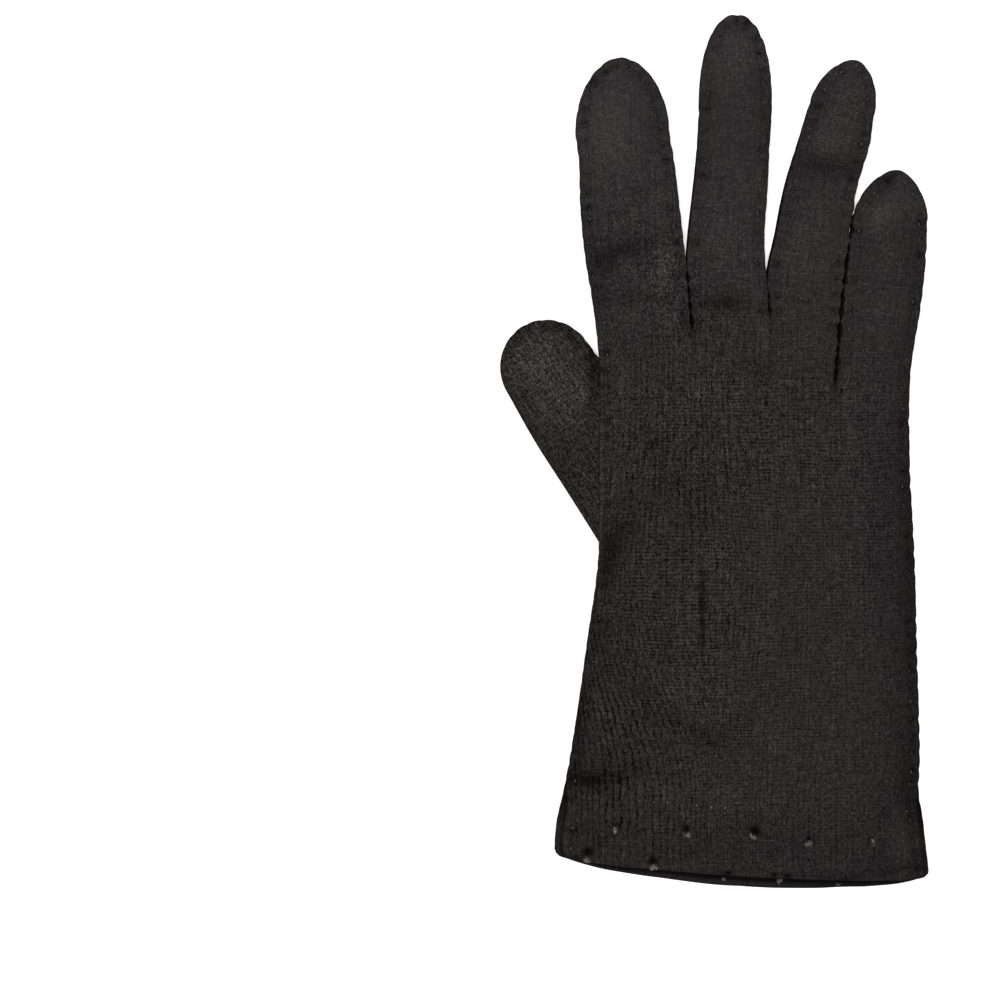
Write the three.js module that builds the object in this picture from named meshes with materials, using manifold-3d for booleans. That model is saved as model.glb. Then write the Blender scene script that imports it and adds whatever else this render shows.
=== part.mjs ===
// Evening glove for the right hand, in fine double knit cloth with hand sewn outside seams.
// It lies palm down on a surface, with its thumb folded under the palm.
// Millimetres: X runs across the hand, Y from the cuff to the fingertips, Z up from the surface.

import * as THREE from "three";
import { mergeVertices } from "three/addons/utils/BufferGeometryUtils.js";
import Module from "manifold-3d";

const { clamp, degToRad, lerp, smoothstep } = THREE.MathUtils;

// Cloth, seams and hem
const WALL = 1.0;
const GAP = 0.3; // clearance between two pieces that are sewn together
const SEAM = 2.3; // seam allowance outside the stitches
const HEM_DEPTH = 19.4;
const HEM_EXTRA = 1.0; // second layer of cloth inside the cuff
const CUFF_CORNERS = { left: -108, right: -114 };
const CUFF_SAG = { back: 4.4, palm: 6.2 }; // the palm's edge shows below the back's edge

// Heights above the surface
const FINGER_HEIGHT = 6.8;
const PALM_HEIGHT = 8.0;
const CUFF_HEIGHT = 9.6;
const THUMB_HEIGHT = 6.3;
const SEAM_BASE = 1.6; // underside of a seam that closes back and palm directly
const GUSSET_BASE = 0.3; // underside of the palm's edge where a fourchette parts it from the back
const GUSSET_RISE = 3.6; // how far a fourchette parts the two edges
const SEAM_SETTLE = 0.85; // share of its height that a seam loses where it lies on the thumb
const BACK_ROUND = 4.2; // width of the rounding inside the stitches
const PALM_ROUND = 3.0;
const ROUND_POWER = 3;
const BODY_RISE = { from: 5, to: 18 }; // distances from a seam over which the body of the hand fills out

// Side seams of the hand, a row for each section from the cuff to the roots of the fingers
const HAND = [
  { y: -114, left: -43.4, right: 58.0 },
  { y: -104, left: -43.2, right: 56.6 },
  { y: -99, left: -42.6, right: 56.0 },
  { y: -94, left: -41.5, right: 55.1 },
  { y: -80, left: -38.9, right: 55.1 },
  { y: -55, left: -35.2, right: 54.5 },
  { y: -30, left: -31.9, right: 53.8 },
  { y: 0, left: -31.5, right: 52.4 },
  { y: 22, left: -31.5, right: 52.7 },
  { y: 40, left: -33.2, right: 55.5 },
  { y: 54, left: -35.3, right: 56.9 },
];

// Slits between two fingers, from the bottom of the slit to where the fingers part
const FORKS = [
  { name: "index_middle", x: -6.2, y: 32.4, topX: -8.1, topY: 52.1 },
  { name: "middle_ring", x: 14.6, y: 34.8, topX: 13.7, topY: 49.4 },
  { name: "ring_little", x: 32.9, y: 17.8, topX: 36.9, topY: 62.9 },
];
const SLIT_WIDTH = 0.9;
const SLIT_START = 3; // length over which a slit opens to its width

// Edges of each finger above its slits, then its rounded end.
// The end is a half superellipse: its top point, lean in degrees, length, half width and power.
const FINGERS = [
  {
    left: [{ y: 68, x: -36.6 }, { y: 79, x: -36.9 }],
    right: [{ y: 68, x: -9.9 }, { y: 79, x: -11.1 }],
    end: { x: -25.7, y: 106.3, lean: -2.0, length: 20.0, half: 12.8, power: 1.9 },
  },
  {
    left: [{ y: 58, x: -7.5 }, { y: 68, x: -6.4 }, { y: 82, x: -5.0 }],
    right: [{ y: 58, x: 13.2 }, { y: 68, x: 13.9 }, { y: 82, x: 14.7 }],
    end: { x: 5.7, y: 117.9, lean: 0.5, length: 24.0, half: 10.0, power: 2.2 },
  },
  {
    left: [{ y: 60, x: 16.3 }, { y: 72, x: 18.7 }, { y: 84, x: 22.3 }],
    right: [{ y: 66, x: 37.0 }, { y: 72, x: 38.4 }, { y: 84, x: 42.0 }],
    end: { x: 38.3, y: 105.5, lean: 17.2, length: 12.8, half: 8.9, power: 1.75 },
  },
  {
    left: [],
    right: [],
    end: { x: 49.3, y: 75.9, lean: 8.0, length: 13.5, half: 9.95, power: 1.8 },
  },
];
const FOURCHETTE_TAPER = 30; // a fourchette narrows to its point over this length
const FOURCHETTE_DEPTH = 3.3; // from a finger's edge to the inner side of the fourchette's web
const FOURCHETTE_OPENS = { from: WALL, to: 2.5 * WALL }; // its slot has full size above this height
const FOURCHETTE_TURNS = 6; // steps round the bottom of a slit
const FOURCHETTE_POINT = 0.22; // share of the full parting at which a fourchette ends

// Thumb, in its own axes: along from the centre of its rounded tip towards its root, and across
const THUMB = { x: -44.8, y: 22.4, lean: 32.6, tip: 13.3 };
const THUMB_ROWS = [
  { along: 0, left: -12.9, right: 12.7 },
  { along: 14, left: -13.9, right: 13.5 },
  { along: 30, left: -13.9, right: 15.5 },
  { along: 46, left: -14.0, right: 18.4 },
  { along: 60, left: -14.4, right: 17.8 },
  { along: 73, left: -15.4, right: 14.6 },
  { along: 86, left: -16.2, right: 9.4 },
];
const THUMB_ROOT = 14; // length of the rounded end at the thumb's root
const THUMB_SEAM_BASE = 2.0;
const THUMB_SEAM = 2.3; // thickness of the thumb's own seam
const THUMB_ROUND = 3.4;
const THUMB_HOLLOW_START = 0.05; // share of its full height at which the thumb's hollow starts
const THUMB_HOLE = { x: -7.5, y: -33.5, halfWidth: 9.0, halfHeight: 21.5, sides: 28, top: 16 };
const MOUND_MARGIN = 1.5; // the palm stays at full height this far outside the thumb
const MOUND_FADE = 14; // and comes down to the surface over this distance
const MOUND_SHARE = 0.485; // share of the thumb's height that still shows in the back

// Shallow folds in the back: middle, direction in degrees, length, width and depth
const FOLDS = [
  { x: -7.8, y: -71.5, turn: -37, length: 30, width: 6, depth: 0.8 },
  { x: -29.5, y: -90, turn: 8, length: 18, width: 5, depth: 0.6 },
  { x: -24.3, y: 54, turn: 10, length: 20, width: 5, depth: 0.6 },
  { x: 29.7, y: 76.5, turn: -5, length: 16, width: 5, depth: 0.5 },
  { x: 3.2, y: 40, turn: 0, length: 12, width: 5, depth: 0.5 },
  { x: 17.5, y: 24, turn: -20, length: 16, width: 6, depth: 0.5 },
];

// Rows of the cloth: distance from the cuff's edge, then height along the hand, then shares and angles
const CUFF_ROWS = [0, 6.5, 13, HEM_DEPTH - 0.4, HEM_DEPTH + 0.4, 29, 40];
const CUFF_STRAIGHTENS = 55; // rows further than this from the cuff's edge are straight
const CUFF_LEVEL = -112;
const CUFF_LOWERS = { from: CUFF_LEVEL + HEM_DEPTH / 2, to: -70 }; // down to the hand's height
const HAND_ROWS = [-60, -49, -38, -27, -16, -5, 6, FORKS[2].y, FORKS[2].y + SLIT_START, 27];
const ROOT_ROW = FORKS[1].y;
const FINGER_ROW_PITCH = 8.5;
const END_ANGLES = [20, 40, 58, 74, 85];
const SECOND_COLUMN = 4.8; // distance of the second column from a seam
const FORK_BLEND = 15; // columns gather towards a fork over this length
const SLOPE_STEP = 0.25; // half the distance over which a slope is measured
const TOUCHING = 1e-5;

const CLOTH_COLOUR = 0x2b2827;
const CLOTH_ROUGHNESS = 0.95;

const wasm = await Module();
wasm.setup();

// Rounding of the cloth inside a seam: 0 at the stitches, 1 where it is flat again
function roundOff(distance, width) {
  return 1 - Math.pow(1 - clamp(distance / width, 0, 1), ROUND_POWER);
}

// Smooth x(y) through rows of { y, x } that ends with a given slope
function curveThrough(rows, endSlope) {
  const last = rows.length - 1;
  const chord = (i) => (rows[i + 1].x - rows[i].x) / (rows[i + 1].y - rows[i].y);
  const slopes = rows.map((row, i) => {
    if (i === 0) return chord(0);
    if (i === last) return endSlope;
    const before = row.y - rows[i - 1].y;
    const after = rows[i + 1].y - row.y;
    return (chord(i - 1) * after + chord(i) * before) / (before + after);
  });
  return (y) => {
    let i = 0;
    while (i < last - 1 && y > rows[i + 1].y) i += 1;
    const span = rows[i + 1].y - rows[i].y;
    const t = (y - rows[i].y) / span;
    const rest = 1 - t;
    const fromStart = rest * rest * ((1 + 2 * t) * rows[i].x + t * span * slopes[i]);
    const fromEnd = t * t * ((1 + 2 * rest) * rows[i + 1].x - rest * span * slopes[i + 1]);
    return fromStart + fromEnd;
  };
}

// Rounded end of a finger: its axes, its centre and a point on either side at an angle up from it
function roundedEnd({ x, y, lean, length, half, power }) {
  const angle = degToRad(lean);
  const up = [Math.sin(angle), Math.cos(angle)];
  const across = [up[1], -up[0]];
  const centre = [x - length * up[0], y - length * up[1]];
  const pointAt = (degrees, side) => {
    const rise = length * Math.pow(Math.sin(degToRad(degrees)), 2 / power);
    const reach = side * half * Math.pow(Math.cos(degToRad(degrees)), 2 / power);
    return [0, 1].map((axis) => centre[axis] + rise * up[axis] + reach * across[axis]);
  };
  return { slope: Math.tan(angle), pointAt };
}

// Start of a finger's edge in a slit, on its left (-1) or right (1) side of the slit's middle line
function slitRows(fork, side) {
  const climb = (fork.topX - fork.x) / (fork.topY - fork.y);
  return [
    { y: fork.y, x: fork.x },
    { y: fork.y + SLIT_START, x: fork.x + climb * SLIT_START + (side * SLIT_WIDTH) / 3 },
    { y: fork.topY, x: fork.topX + (side * SLIT_WIDTH) / 2 },
  ];
}

const handLeft = HAND.map(({ y, left }) => ({ y, x: left }));
const handRight = HAND.map(({ y, right }) => ({ y, x: right }));

const fingers = FINGERS.map((finger, k) => {
  const end = roundedEnd(finger.end);
  const leftStart = k === 0 ? handLeft : slitRows(FORKS[k - 1], 1);
  const rightStart = k === 3 ? handRight : slitRows(FORKS[k], -1);
  const sideCurve = (start, rows, side) => {
    const [x, y] = end.pointAt(0, side);
    return { at: curveThrough([...start, ...rows, { y, x }], end.slope), topY: y };
  };
  return {
    end,
    left: sideCurve(leftStart, finger.left, -1),
    right: sideCurve(rightStart, finger.right, 1),
  };
});

// Share of the hand's width at which each fork's line runs down to the cuff
const forkShares = FORKS.map(({ x, y }) => {
  const left = fingers[0].left.at(y);
  return (x - left) / (fingers[3].right.at(y) - left);
});
const borders = [0, ...forkShares, 1];

function borderX(k, y) {
  return lerp(fingers[0].left.at(y), fingers[3].right.at(y), borders[k]);
}

function leftX(k, y) {
  return k === 0 || y > FORKS[k - 1].y ? fingers[k].left.at(y) : borderX(k, y);
}

function rightX(k, y) {
  return k === 3 || y > FORKS[k].y ? fingers[k].right.at(y) : borderX(k + 1, y);
}

// Shares of the width at which the seven columns of a strip stand.
// They keep near an edge that has a seam and are even where the strip joins its neighbour.
function columnShares(width, leftSeam, rightSeam) {
  const near = (even, distance, seam) => lerp(even, Math.min(even, distance / width), seam);
  return [
    0,
    near(1 / 6, SEAM, leftSeam),
    near(1 / 3, SECOND_COLUMN, leftSeam),
    0.5,
    1 - near(1 / 3, SECOND_COLUMN, rightSeam),
    1 - near(1 / 6, SEAM, rightSeam),
    1,
  ];
}

// How far the columns gather towards a side at a given y: 1 on a seam, 0 well below a fork
function seamNear(fork, y) {
  return fork ? smoothstep(y, fork.y - FORK_BLEND, fork.y) : 1;
}

// Straight row between two edge points
function rowBetween(left, right, leftSeam, rightSeam) {
  const width = Math.hypot(right[0] - left[0], right[1] - left[1]);
  return columnShares(width, leftSeam, rightSeam).map((share) => [
    lerp(left[0], right[0], share),
    lerp(left[1], right[1], share),
  ]);
}

// Row in the hand, at the height that rowY gives for a share of the hand's width
function handRow(k, rowY) {
  const middleY = rowY((borders[k] + borders[k + 1]) / 2);
  const width = rightX(k, middleY) - leftX(k, middleY);
  const shares = columnShares(width, seamNear(FORKS[k - 1], middleY), seamNear(FORKS[k], middleY));
  return shares.map((share) => {
    const y = rowY(lerp(borders[k], borders[k + 1], share));
    return [lerp(leftX(k, y), rightX(k, y), share), y];
  });
}

// Cuff edge of one panel: a line between its corners that sags towards the palm
function cuffEdge(share, sag) {
  const bend = 1 - Math.pow(Math.abs(2 * share - 1), 3);
  return lerp(CUFF_CORNERS.left, CUFF_CORNERS.right, share) - sag * bend;
}

// Rows of one strip, from the cuff over one finger to its tip
function stripRows(k, sag) {
  const rows = [];
  for (const distance of CUFF_ROWS) {
    const keep = 1 - distance / CUFF_STRAIGHTENS;
    rows.push(handRow(k, (share) => lerp(CUFF_LEVEL, cuffEdge(share, sag), keep) + distance));
  }
  for (const y of [...HAND_ROWS, FORKS[0].y, ROOT_ROW]) {
    rows.push(handRow(k, () => y));
  }
  const { left, right, end } = fingers[k];
  const count = Math.max(3, Math.round((left.topY - ROOT_ROW) / FINGER_ROW_PITCH));
  for (let i = 1; i <= count; i += 1) {
    const leftY = lerp(ROOT_ROW, left.topY, i / count);
    const rightY = lerp(ROOT_ROW, right.topY, i / count);
    rows.push(rowBetween([left.at(leftY), leftY], [right.at(rightY), rightY], 1, 1));
  }
  for (const angle of END_ANGLES) {
    rows.push(rowBetween(end.pointAt(angle, -1), end.pointAt(angle, 1), 1, 1));
  }
  return rows;
}

// Share of the full parting between back and palm on one side of a finger
function parting(k, side, y) {
  const fork = side === "left" ? FORKS[k - 1] : FORKS[k];
  if (!fork) return 0;
  const below = fingers[k][side].topY - y;
  return Math.sin((Math.PI / 2) * clamp(below / FOURCHETTE_TAPER, 0, 1));
}

// Rows of a strip that have a free edge on one side: all of them, or those from the fork upwards
function freeRows(rows, k, side) {
  const fork = side === "left" ? FORKS[k - 1] : FORKS[k];
  const endOf = (row) => (side === "left" ? row[0] : row[row.length - 1]);
  return rows.filter((row) => !fork || endOf(row)[1] > fork.y - TOUCHING);
}

// Free edge of a strip on one side, from its fork or the cuff to its tip
function freeEdge(rows, k, side) {
  return freeRows(rows, k, side).map((row) => {
    const [x, y] = side === "left" ? row[0] : row[row.length - 1];
    return { x, y, parting: parting(k, side, y) };
  });
}

// Plan of one panel: four strips that share their borders below the forks, and its seam lines
function panelPlan(sag) {
  const strips = FINGERS.map((finger, k) => stripRows(k, sag));
  const seams = strips.flatMap((rows, k) => {
    const left = freeEdge(rows, k, "left");
    const right = freeEdge(rows, k, "right");
    return [left, right, [left[left.length - 1], right[right.length - 1]]];
  });
  return { strips, seams };
}

// Distance from a point to the nearest seam line, and the parting there
function nearestSeam(seams, x, y) {
  let best = { distance: Infinity, parting: 0 };
  for (const seam of seams) {
    for (let i = 1; i < seam.length; i += 1) {
      const from = seam[i - 1];
      const to = seam[i];
      const dx = to.x - from.x;
      const dy = to.y - from.y;
      const t = clamp(((x - from.x) * dx + (y - from.y) * dy) / (dx * dx + dy * dy), 0, 1);
      const distance = Math.hypot(x - from.x - t * dx, y - from.y - t * dy);
      if (distance < best.distance) {
        best = { distance, parting: lerp(from.parting, to.parting, t) };
      }
    }
  }
  return best;
}

// Thumb outline in the plan, and how high it lifts the cloth that lies on it
const thumbAngle = degToRad(THUMB.lean);
const thumbAlong = [Math.sin(thumbAngle), -Math.cos(thumbAngle)];
const thumbAcross = [Math.cos(thumbAngle), Math.sin(thumbAngle)];

function thumbPoint(along, across) {
  return [
    THUMB.x + along * thumbAlong[0] + across * thumbAcross[0],
    THUMB.y + along * thumbAlong[1] + across * thumbAcross[1],
  ];
}

// Rows of the thumb between its two edges, with a rounded tip and a rounded root
function thumbEdges() {
  const first = THUMB_ROWS[0];
  const last = THUMB_ROWS[THUMB_ROWS.length - 1];
  const arc = (row, length) => (degrees) => {
    const middle = (row.left + row.right) / 2;
    const half = ((row.right - row.left) / 2) * Math.cos(degToRad(degrees));
    const along = row.along + length * Math.sin(degToRad(degrees));
    return { along, left: middle - half, right: middle + half };
  };
  const tip = END_ANGLES.map(arc(first, -THUMB.tip)).reverse();
  return [...tip, ...THUMB_ROWS, ...END_ANGLES.map(arc(last, THUMB_ROOT))];
}

const thumbRows = thumbEdges().map(({ along, left, right }) => {
  return rowBetween(thumbPoint(along, left), thumbPoint(along, right), 1, 1);
});
const thumbOutline = [
  ...thumbRows.map((row) => row[0]),
  ...thumbRows.map((row) => row[row.length - 1]).reverse(),
].map(([x, y]) => ({ x, y, parting: 0 }));
const thumbSeams = [[...thumbOutline, thumbOutline[0]]];

function insideThumb(x, y) {
  let inside = false;
  thumbOutline.forEach((from, i) => {
    const to = thumbOutline[(i + 1) % thumbOutline.length];
    const crosses = from.y > y !== to.y > y;
    if (crosses && x < lerp(from.x, to.x, (y - from.y) / (to.y - from.y))) inside = !inside;
  });
  return inside;
}

const fullLift = THUMB_HEIGHT + GAP;

function liftAt(x, y) {
  if (insideThumb(x, y)) return fullLift;
  const { distance } = nearestSeam(thumbSeams, x, y);
  return fullLift * (1 - smoothstep(distance, MOUND_MARGIN, MOUND_MARGIN + MOUND_FADE));
}

// Outer heights of the palm's edge and of the back's edge above it at a seam
function seamHeights(part, lift) {
  const base = SEAM_BASE * (1 - (SEAM_SETTLE * lift) / fullLift);
  const palm = lerp(base, GUSSET_BASE, part) + lift;
  return { palm, back: palm + 2 * WALL + GAP + part * GUSSET_RISE };
}

function foldDepth(x, y) {
  return FOLDS.reduce((sum, fold) => {
    const angle = degToRad(fold.turn);
    const dx = x - fold.x;
    const dy = y - fold.y;
    const along = (dx * Math.cos(angle) + dy * Math.sin(angle)) / (fold.length / 2);
    const across = (dy * Math.cos(angle) - dx * Math.sin(angle)) / (fold.width / 2);
    return sum + fold.depth * Math.exp(-along * along - across * across);
  }, 0);
}

function backHeight(seams, x, y) {
  const { distance, parting: part } = nearestSeam(seams, x, y);
  const lift = liftAt(x, y);
  const body = lerp(CUFF_HEIGHT, PALM_HEIGHT, smoothstep(y, CUFF_LOWERS.from, CUFF_LOWERS.to));
  const fill = smoothstep(distance, BODY_RISE.from, BODY_RISE.to);
  const flat = lerp(FINGER_HEIGHT, body, fill) + MOUND_SHARE * lift;
  const rise = roundOff(distance - SEAM, BACK_ROUND);
  return lerp(seamHeights(part, lift).back, flat - foldDepth(x, y), rise);
}

function palmHeight(seams, x, y) {
  const { distance, parting: part } = nearestSeam(seams, x, y);
  const lift = liftAt(x, y);
  return lerp(seamHeights(part, lift).palm, lift, roundOff(distance - SEAM, PALM_ROUND));
}

// Upward unit normal of a height function
function normalAt(height, x, y) {
  const slopeX = (height(x + SLOPE_STEP, y) - height(x - SLOPE_STEP, y)) / (2 * SLOPE_STEP);
  const slopeY = (height(x, y + SLOPE_STEP) - height(x, y - SLOPE_STEP)) / (2 * SLOPE_STEP);
  return new THREE.Vector3(-slopeX, -slopeY, 1).normalize();
}

// Collects triangles as a position-only geometry whose shared corners are merged
class Shell {
  constructor() {
    this.corners = [];
  }

  triangle(a, b, c) {
    this.corners.push(...a, ...b, ...c);
  }

  quad(a, b, c, d) {
    this.triangle(a, b, c);
    this.triangle(a, c, d);
  }

  geometry() {
    const soup = new THREE.BufferGeometry();
    soup.setAttribute("position", new THREE.Float32BufferAttribute(this.corners, 3));
    return mergeVertices(soup, TOUCHING);
  }
}

// Grid of points with its rows running up and its columns to the right, facing up or down
function addGrid(shell, grid, facesUp) {
  for (let j = 1; j < grid.length; j += 1) {
    for (let i = 1; i < grid[j].length; i += 1) {
      const [a, b] = [grid[j - 1][i - 1], grid[j - 1][i]];
      const [d, c] = [grid[j][i - 1], grid[j][i]];
      if (facesUp) shell.quad(a, b, c, d);
      else shell.quad(a, d, c, b);
    }
  }
}

function column(grid, i) {
  return grid.map((row) => row[i]);
}

// Upright band between two rows of points; it faces right of the way from the first to the last
function addBand(shell, lower, upper) {
  for (let i = 1; i < lower.length; i += 1) {
    shell.quad(lower[i - 1], lower[i], upper[i], upper[i - 1]);
  }
}

// One panel as a solid sheet: its outer face has the given height, and its inner face lies a wall
// thickness inside it, or more in the hem
function panelGeometry(sag, heightOf, side) {
  const { strips, seams } = panelPlan(sag);
  const height = (x, y) => heightOf(seams, x, y);
  const shell = new Shell();
  const width = fingers[3].right.at(CUFF_LEVEL) - fingers[0].left.at(CUFF_LEVEL);

  const wallAt = (x, y) => {
    const share = clamp((x - fingers[0].left.at(CUFF_LEVEL)) / width, 0, 1);
    const inHem = y < cuffEdge(share, sag) + HEM_DEPTH ? 1 : 0;
    const { distance } = nearestSeam(seams, x, y);
    return WALL + inHem * HEM_EXTRA * smoothstep(distance, SEAM, SECOND_COLUMN);
  };

  strips.forEach((rows, k) => {
    const outer = rows.map((row) => row.map(([x, y]) => [x, y, height(x, y)]));
    const inner = outer.map((row) => row.map(([x, y, z]) => {
      const inward = normalAt(height, x, y).multiplyScalar(-side * wallAt(x, y));
      return [x + inward.x, y + inward.y, z + inward.z];
    }));
    const [upper, lower] = side > 0 ? [outer, inner] : [inner, outer];
    addGrid(shell, upper, true);
    addGrid(shell, lower, false);
    const first = lower.length - freeRows(rows, k, "left").length;
    addBand(shell, column(lower, 0).slice(first).reverse(), column(upper, 0).slice(first).reverse());
    const second = lower.length - freeRows(rows, k, "right").length;
    const last = lower[0].length - 1;
    addBand(shell, column(lower, last).slice(second), column(upper, last).slice(second));
    addBand(shell, lower[0], upper[0]);
    const top = lower.length - 1;
    addBand(shell, [...lower[top]].reverse(), [...upper[top]].reverse());
  });
  return shell.geometry();
}

// Solid of a closed geometry, and the geometry of a solid
function toSolid(geometry) {
  return new wasm.Manifold(new wasm.Mesh({
    numProp: 3,
    vertProperties: new Float32Array(geometry.attributes.position.array),
    triVerts: new Uint32Array(geometry.index.array),
  }));
}

function toGeometry(solid) {
  const mesh = solid.getMesh();
  const geometry = new THREE.BufferGeometry();
  geometry.setAttribute("position", new THREE.BufferAttribute(mesh.vertProperties, 3));
  geometry.setIndex(new THREE.BufferAttribute(mesh.triVerts, 1));
  return geometry;
}

// Upright pointed oval that cuts the opening between hand and thumb
function thumbHoleCutter(bottom) {
  const outline = new THREE.Shape();
  for (let i = 0; i < THUMB_HOLE.sides; i += 1) {
    const angle = (2 * Math.PI * i) / THUMB_HOLE.sides;
    const x = THUMB_HOLE.x + THUMB_HOLE.halfWidth * Math.cos(angle);
    const y = THUMB_HOLE.y + THUMB_HOLE.halfHeight * Math.sin(angle);
    if (i === 0) outline.moveTo(x, y);
    else outline.lineTo(x, y);
  }
  const depth = THUMB_HOLE.top - bottom;
  const prism = new THREE.ExtrudeGeometry(outline, { depth, bevelEnabled: false });
  prism.translate(0, 0, bottom);
  prism.deleteAttribute("normal");
  prism.deleteAttribute("uv");
  return toSolid(mergeVertices(prism, TOUCHING));
}

// Pouch shape between a lower and an upper height over the thumb's rows
function thumbPouch(rows, lowerHeight, upperHeight) {
  const shell = new Shell();
  const lower = rows.map((row) => row.map(([x, y]) => [x, y, lowerHeight(x, y)]));
  const upper = rows.map((row) => row.map(([x, y]) => [x, y, upperHeight(x, y)]));
  const last = rows[0].length - 1;
  const top = rows.length - 1;
  addGrid(shell, upper, false);
  addGrid(shell, lower, true);
  addBand(shell, column(lower, 0), column(upper, 0));
  addBand(shell, column(lower, last).reverse(), column(upper, last).reverse());
  addBand(shell, [...lower[0]].reverse(), [...upper[0]].reverse());
  addBand(shell, lower[top], upper[top]);
  return toSolid(shell.geometry());
}

function thumbRise(x, y) {
  return roundOff(nearestSeam(thumbSeams, x, y).distance - SEAM, THUMB_ROUND);
}

function thumbGeometry() {
  const seamTop = THUMB_SEAM_BASE + THUMB_SEAM;
  const outside = thumbPouch(
    thumbRows,
    (x, y) => lerp(THUMB_SEAM_BASE, 0, thumbRise(x, y)),
    (x, y) => lerp(seamTop, THUMB_HEIGHT, thumbRise(x, y)),
  );
  // The hollow lies inside the stitches and stays a wall thickness from both outer faces
  const hollowRows = thumbRows.slice(2, -2).map((row) => row.slice(1, -1));
  const middle = THUMB_SEAM_BASE + THUMB_SEAM / 2;
  const opened = (x, y) => Math.max(THUMB_HOLLOW_START, thumbRise(x, y));
  const hollow = thumbPouch(
    hollowRows,
    (x, y) => lerp(middle, WALL, opened(x, y)),
    (x, y) => lerp(middle, THUMB_HEIGHT - WALL, opened(x, y)),
  );
  return toGeometry(outside.subtract(hollow).subtract(thumbHoleCutter(middle)));
}

// Point between two stations of an edge at which the parting has a given value
function stationAt(from, to, part) {
  const t = (part - from.parting) / (to.parting - from.parting);
  return { x: lerp(from.x, to.x, t), y: lerp(from.y, to.y, t), parting: part };
}

// Edge of a finger from its fork up to the point of the fourchette
function fourchetteSide(edge) {
  const stations = [];
  for (let i = 0; i < edge.length; i += 1) {
    if (edge[i].parting < FOURCHETTE_POINT) {
      stations.push(stationAt(edge[i - 1], edge[i], FOURCHETTE_POINT));
      break;
    }
    stations.push(edge[i]);
  }
  return stations;
}

// Direction across an edge at one of its stations, to the left of the way up it
function leftOf(stations, i) {
  const from = stations[Math.max(0, i - 1)];
  const to = stations[Math.min(stations.length - 1, i + 1)];
  const length = Math.hypot(to.x - from.x, to.y - from.y);
  return [-(to.y - from.y) / length, (to.x - from.x) / length];
}

// Section of a fourchette: two edges with a slot between them, joined by a web deep in the finger
function fourchetteSection({ x, y, parting: part }, inward) {
  const { palm, back } = seamHeights(part, liftAt(x, y));
  const bottom = palm + WALL + GAP;
  const top = back - WALL - GAP;
  const open = smoothstep(top - bottom, FOURCHETTE_OPENS.from, FOURCHETTE_OPENS.to);
  const slot = lerp((top - bottom) / 3, top - bottom - 2 * WALL, open);
  const slotBottom = (bottom + top - slot) / 2;
  const slotTop = (bottom + top + slot) / 2;
  const slotEnd = lerp(2 * GAP, FOURCHETTE_DEPTH - WALL, open);
  const at = (depth, z) => [x + depth * inward[0], y + depth * inward[1], z];
  return [
    at(GAP, bottom),
    at(FOURCHETTE_DEPTH, bottom),
    at(FOURCHETTE_DEPTH, top),
    at(GAP, top),
    at(GAP, slotTop),
    at(slotEnd, slotTop),
    at(slotEnd, slotBottom),
    at(GAP, slotBottom),
  ];
}

function fourchetteGeometry(k, strips) {
  const down = fourchetteSide(freeEdge(strips[k], k, "right"));
  const up = fourchetteSide(freeEdge(strips[k + 1], k + 1, "left"));
  const sections = [];
  for (let i = down.length - 1; i > 0; i -= 1) {
    sections.push(fourchetteSection(down[i], leftOf(down, i)));
  }
  for (let i = 0; i <= FOURCHETTE_TURNS; i += 1) {
    const angle = Math.PI + (Math.PI * i) / FOURCHETTE_TURNS;
    sections.push(fourchetteSection(down[0], [Math.cos(angle), Math.sin(angle)]));
  }
  for (let i = 1; i < up.length; i += 1) {
    sections.push(fourchetteSection(up[i], leftOf(up, i).map((value) => -value)));
  }

  const shell = new Shell();
  const corners = sections[0].length;
  for (let j = 1; j < sections.length; j += 1) {
    for (let i = 0; i < corners; i += 1) {
      const next = (i + 1) % corners;
      shell.quad(sections[j - 1][next], sections[j - 1][i], sections[j][i], sections[j][next]);
    }
  }
  // Three quads close each end: the lower edge, the web and the upper edge
  for (const face of [[7, 6, 1, 0], [6, 5, 2, 1], [5, 4, 3, 2]]) {
    shell.quad(...[...face].reverse().map((i) => sections[0][i]));
    shell.quad(...face.map((i) => sections[sections.length - 1][i]));
  }
  return shell.geometry();
}

const glove = new THREE.Group();

function addPiece(name, geometry) {
  const material = new THREE.MeshStandardMaterial({
    color: CLOTH_COLOUR,
    roughness: CLOTH_ROUGHNESS,
    metalness: 0,
  });
  const piece = new THREE.Mesh(geometry, material);
  piece.name = name;
  glove.add(piece);
}

addPiece("back_panel", panelGeometry(CUFF_SAG.back, backHeight, 1));

const palmSheet = toSolid(panelGeometry(CUFF_SAG.palm, palmHeight, -1));
addPiece("palm_panel", toGeometry(palmSheet.subtract(thumbHoleCutter(GAP))));

const backStrips = panelPlan(CUFF_SAG.back).strips;
FORKS.forEach((fork, k) => addPiece(`fourchette_${fork.name}`, fourchetteGeometry(k, backStrips)));

addPiece("thumb", thumbGeometry());

export default glove;
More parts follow.
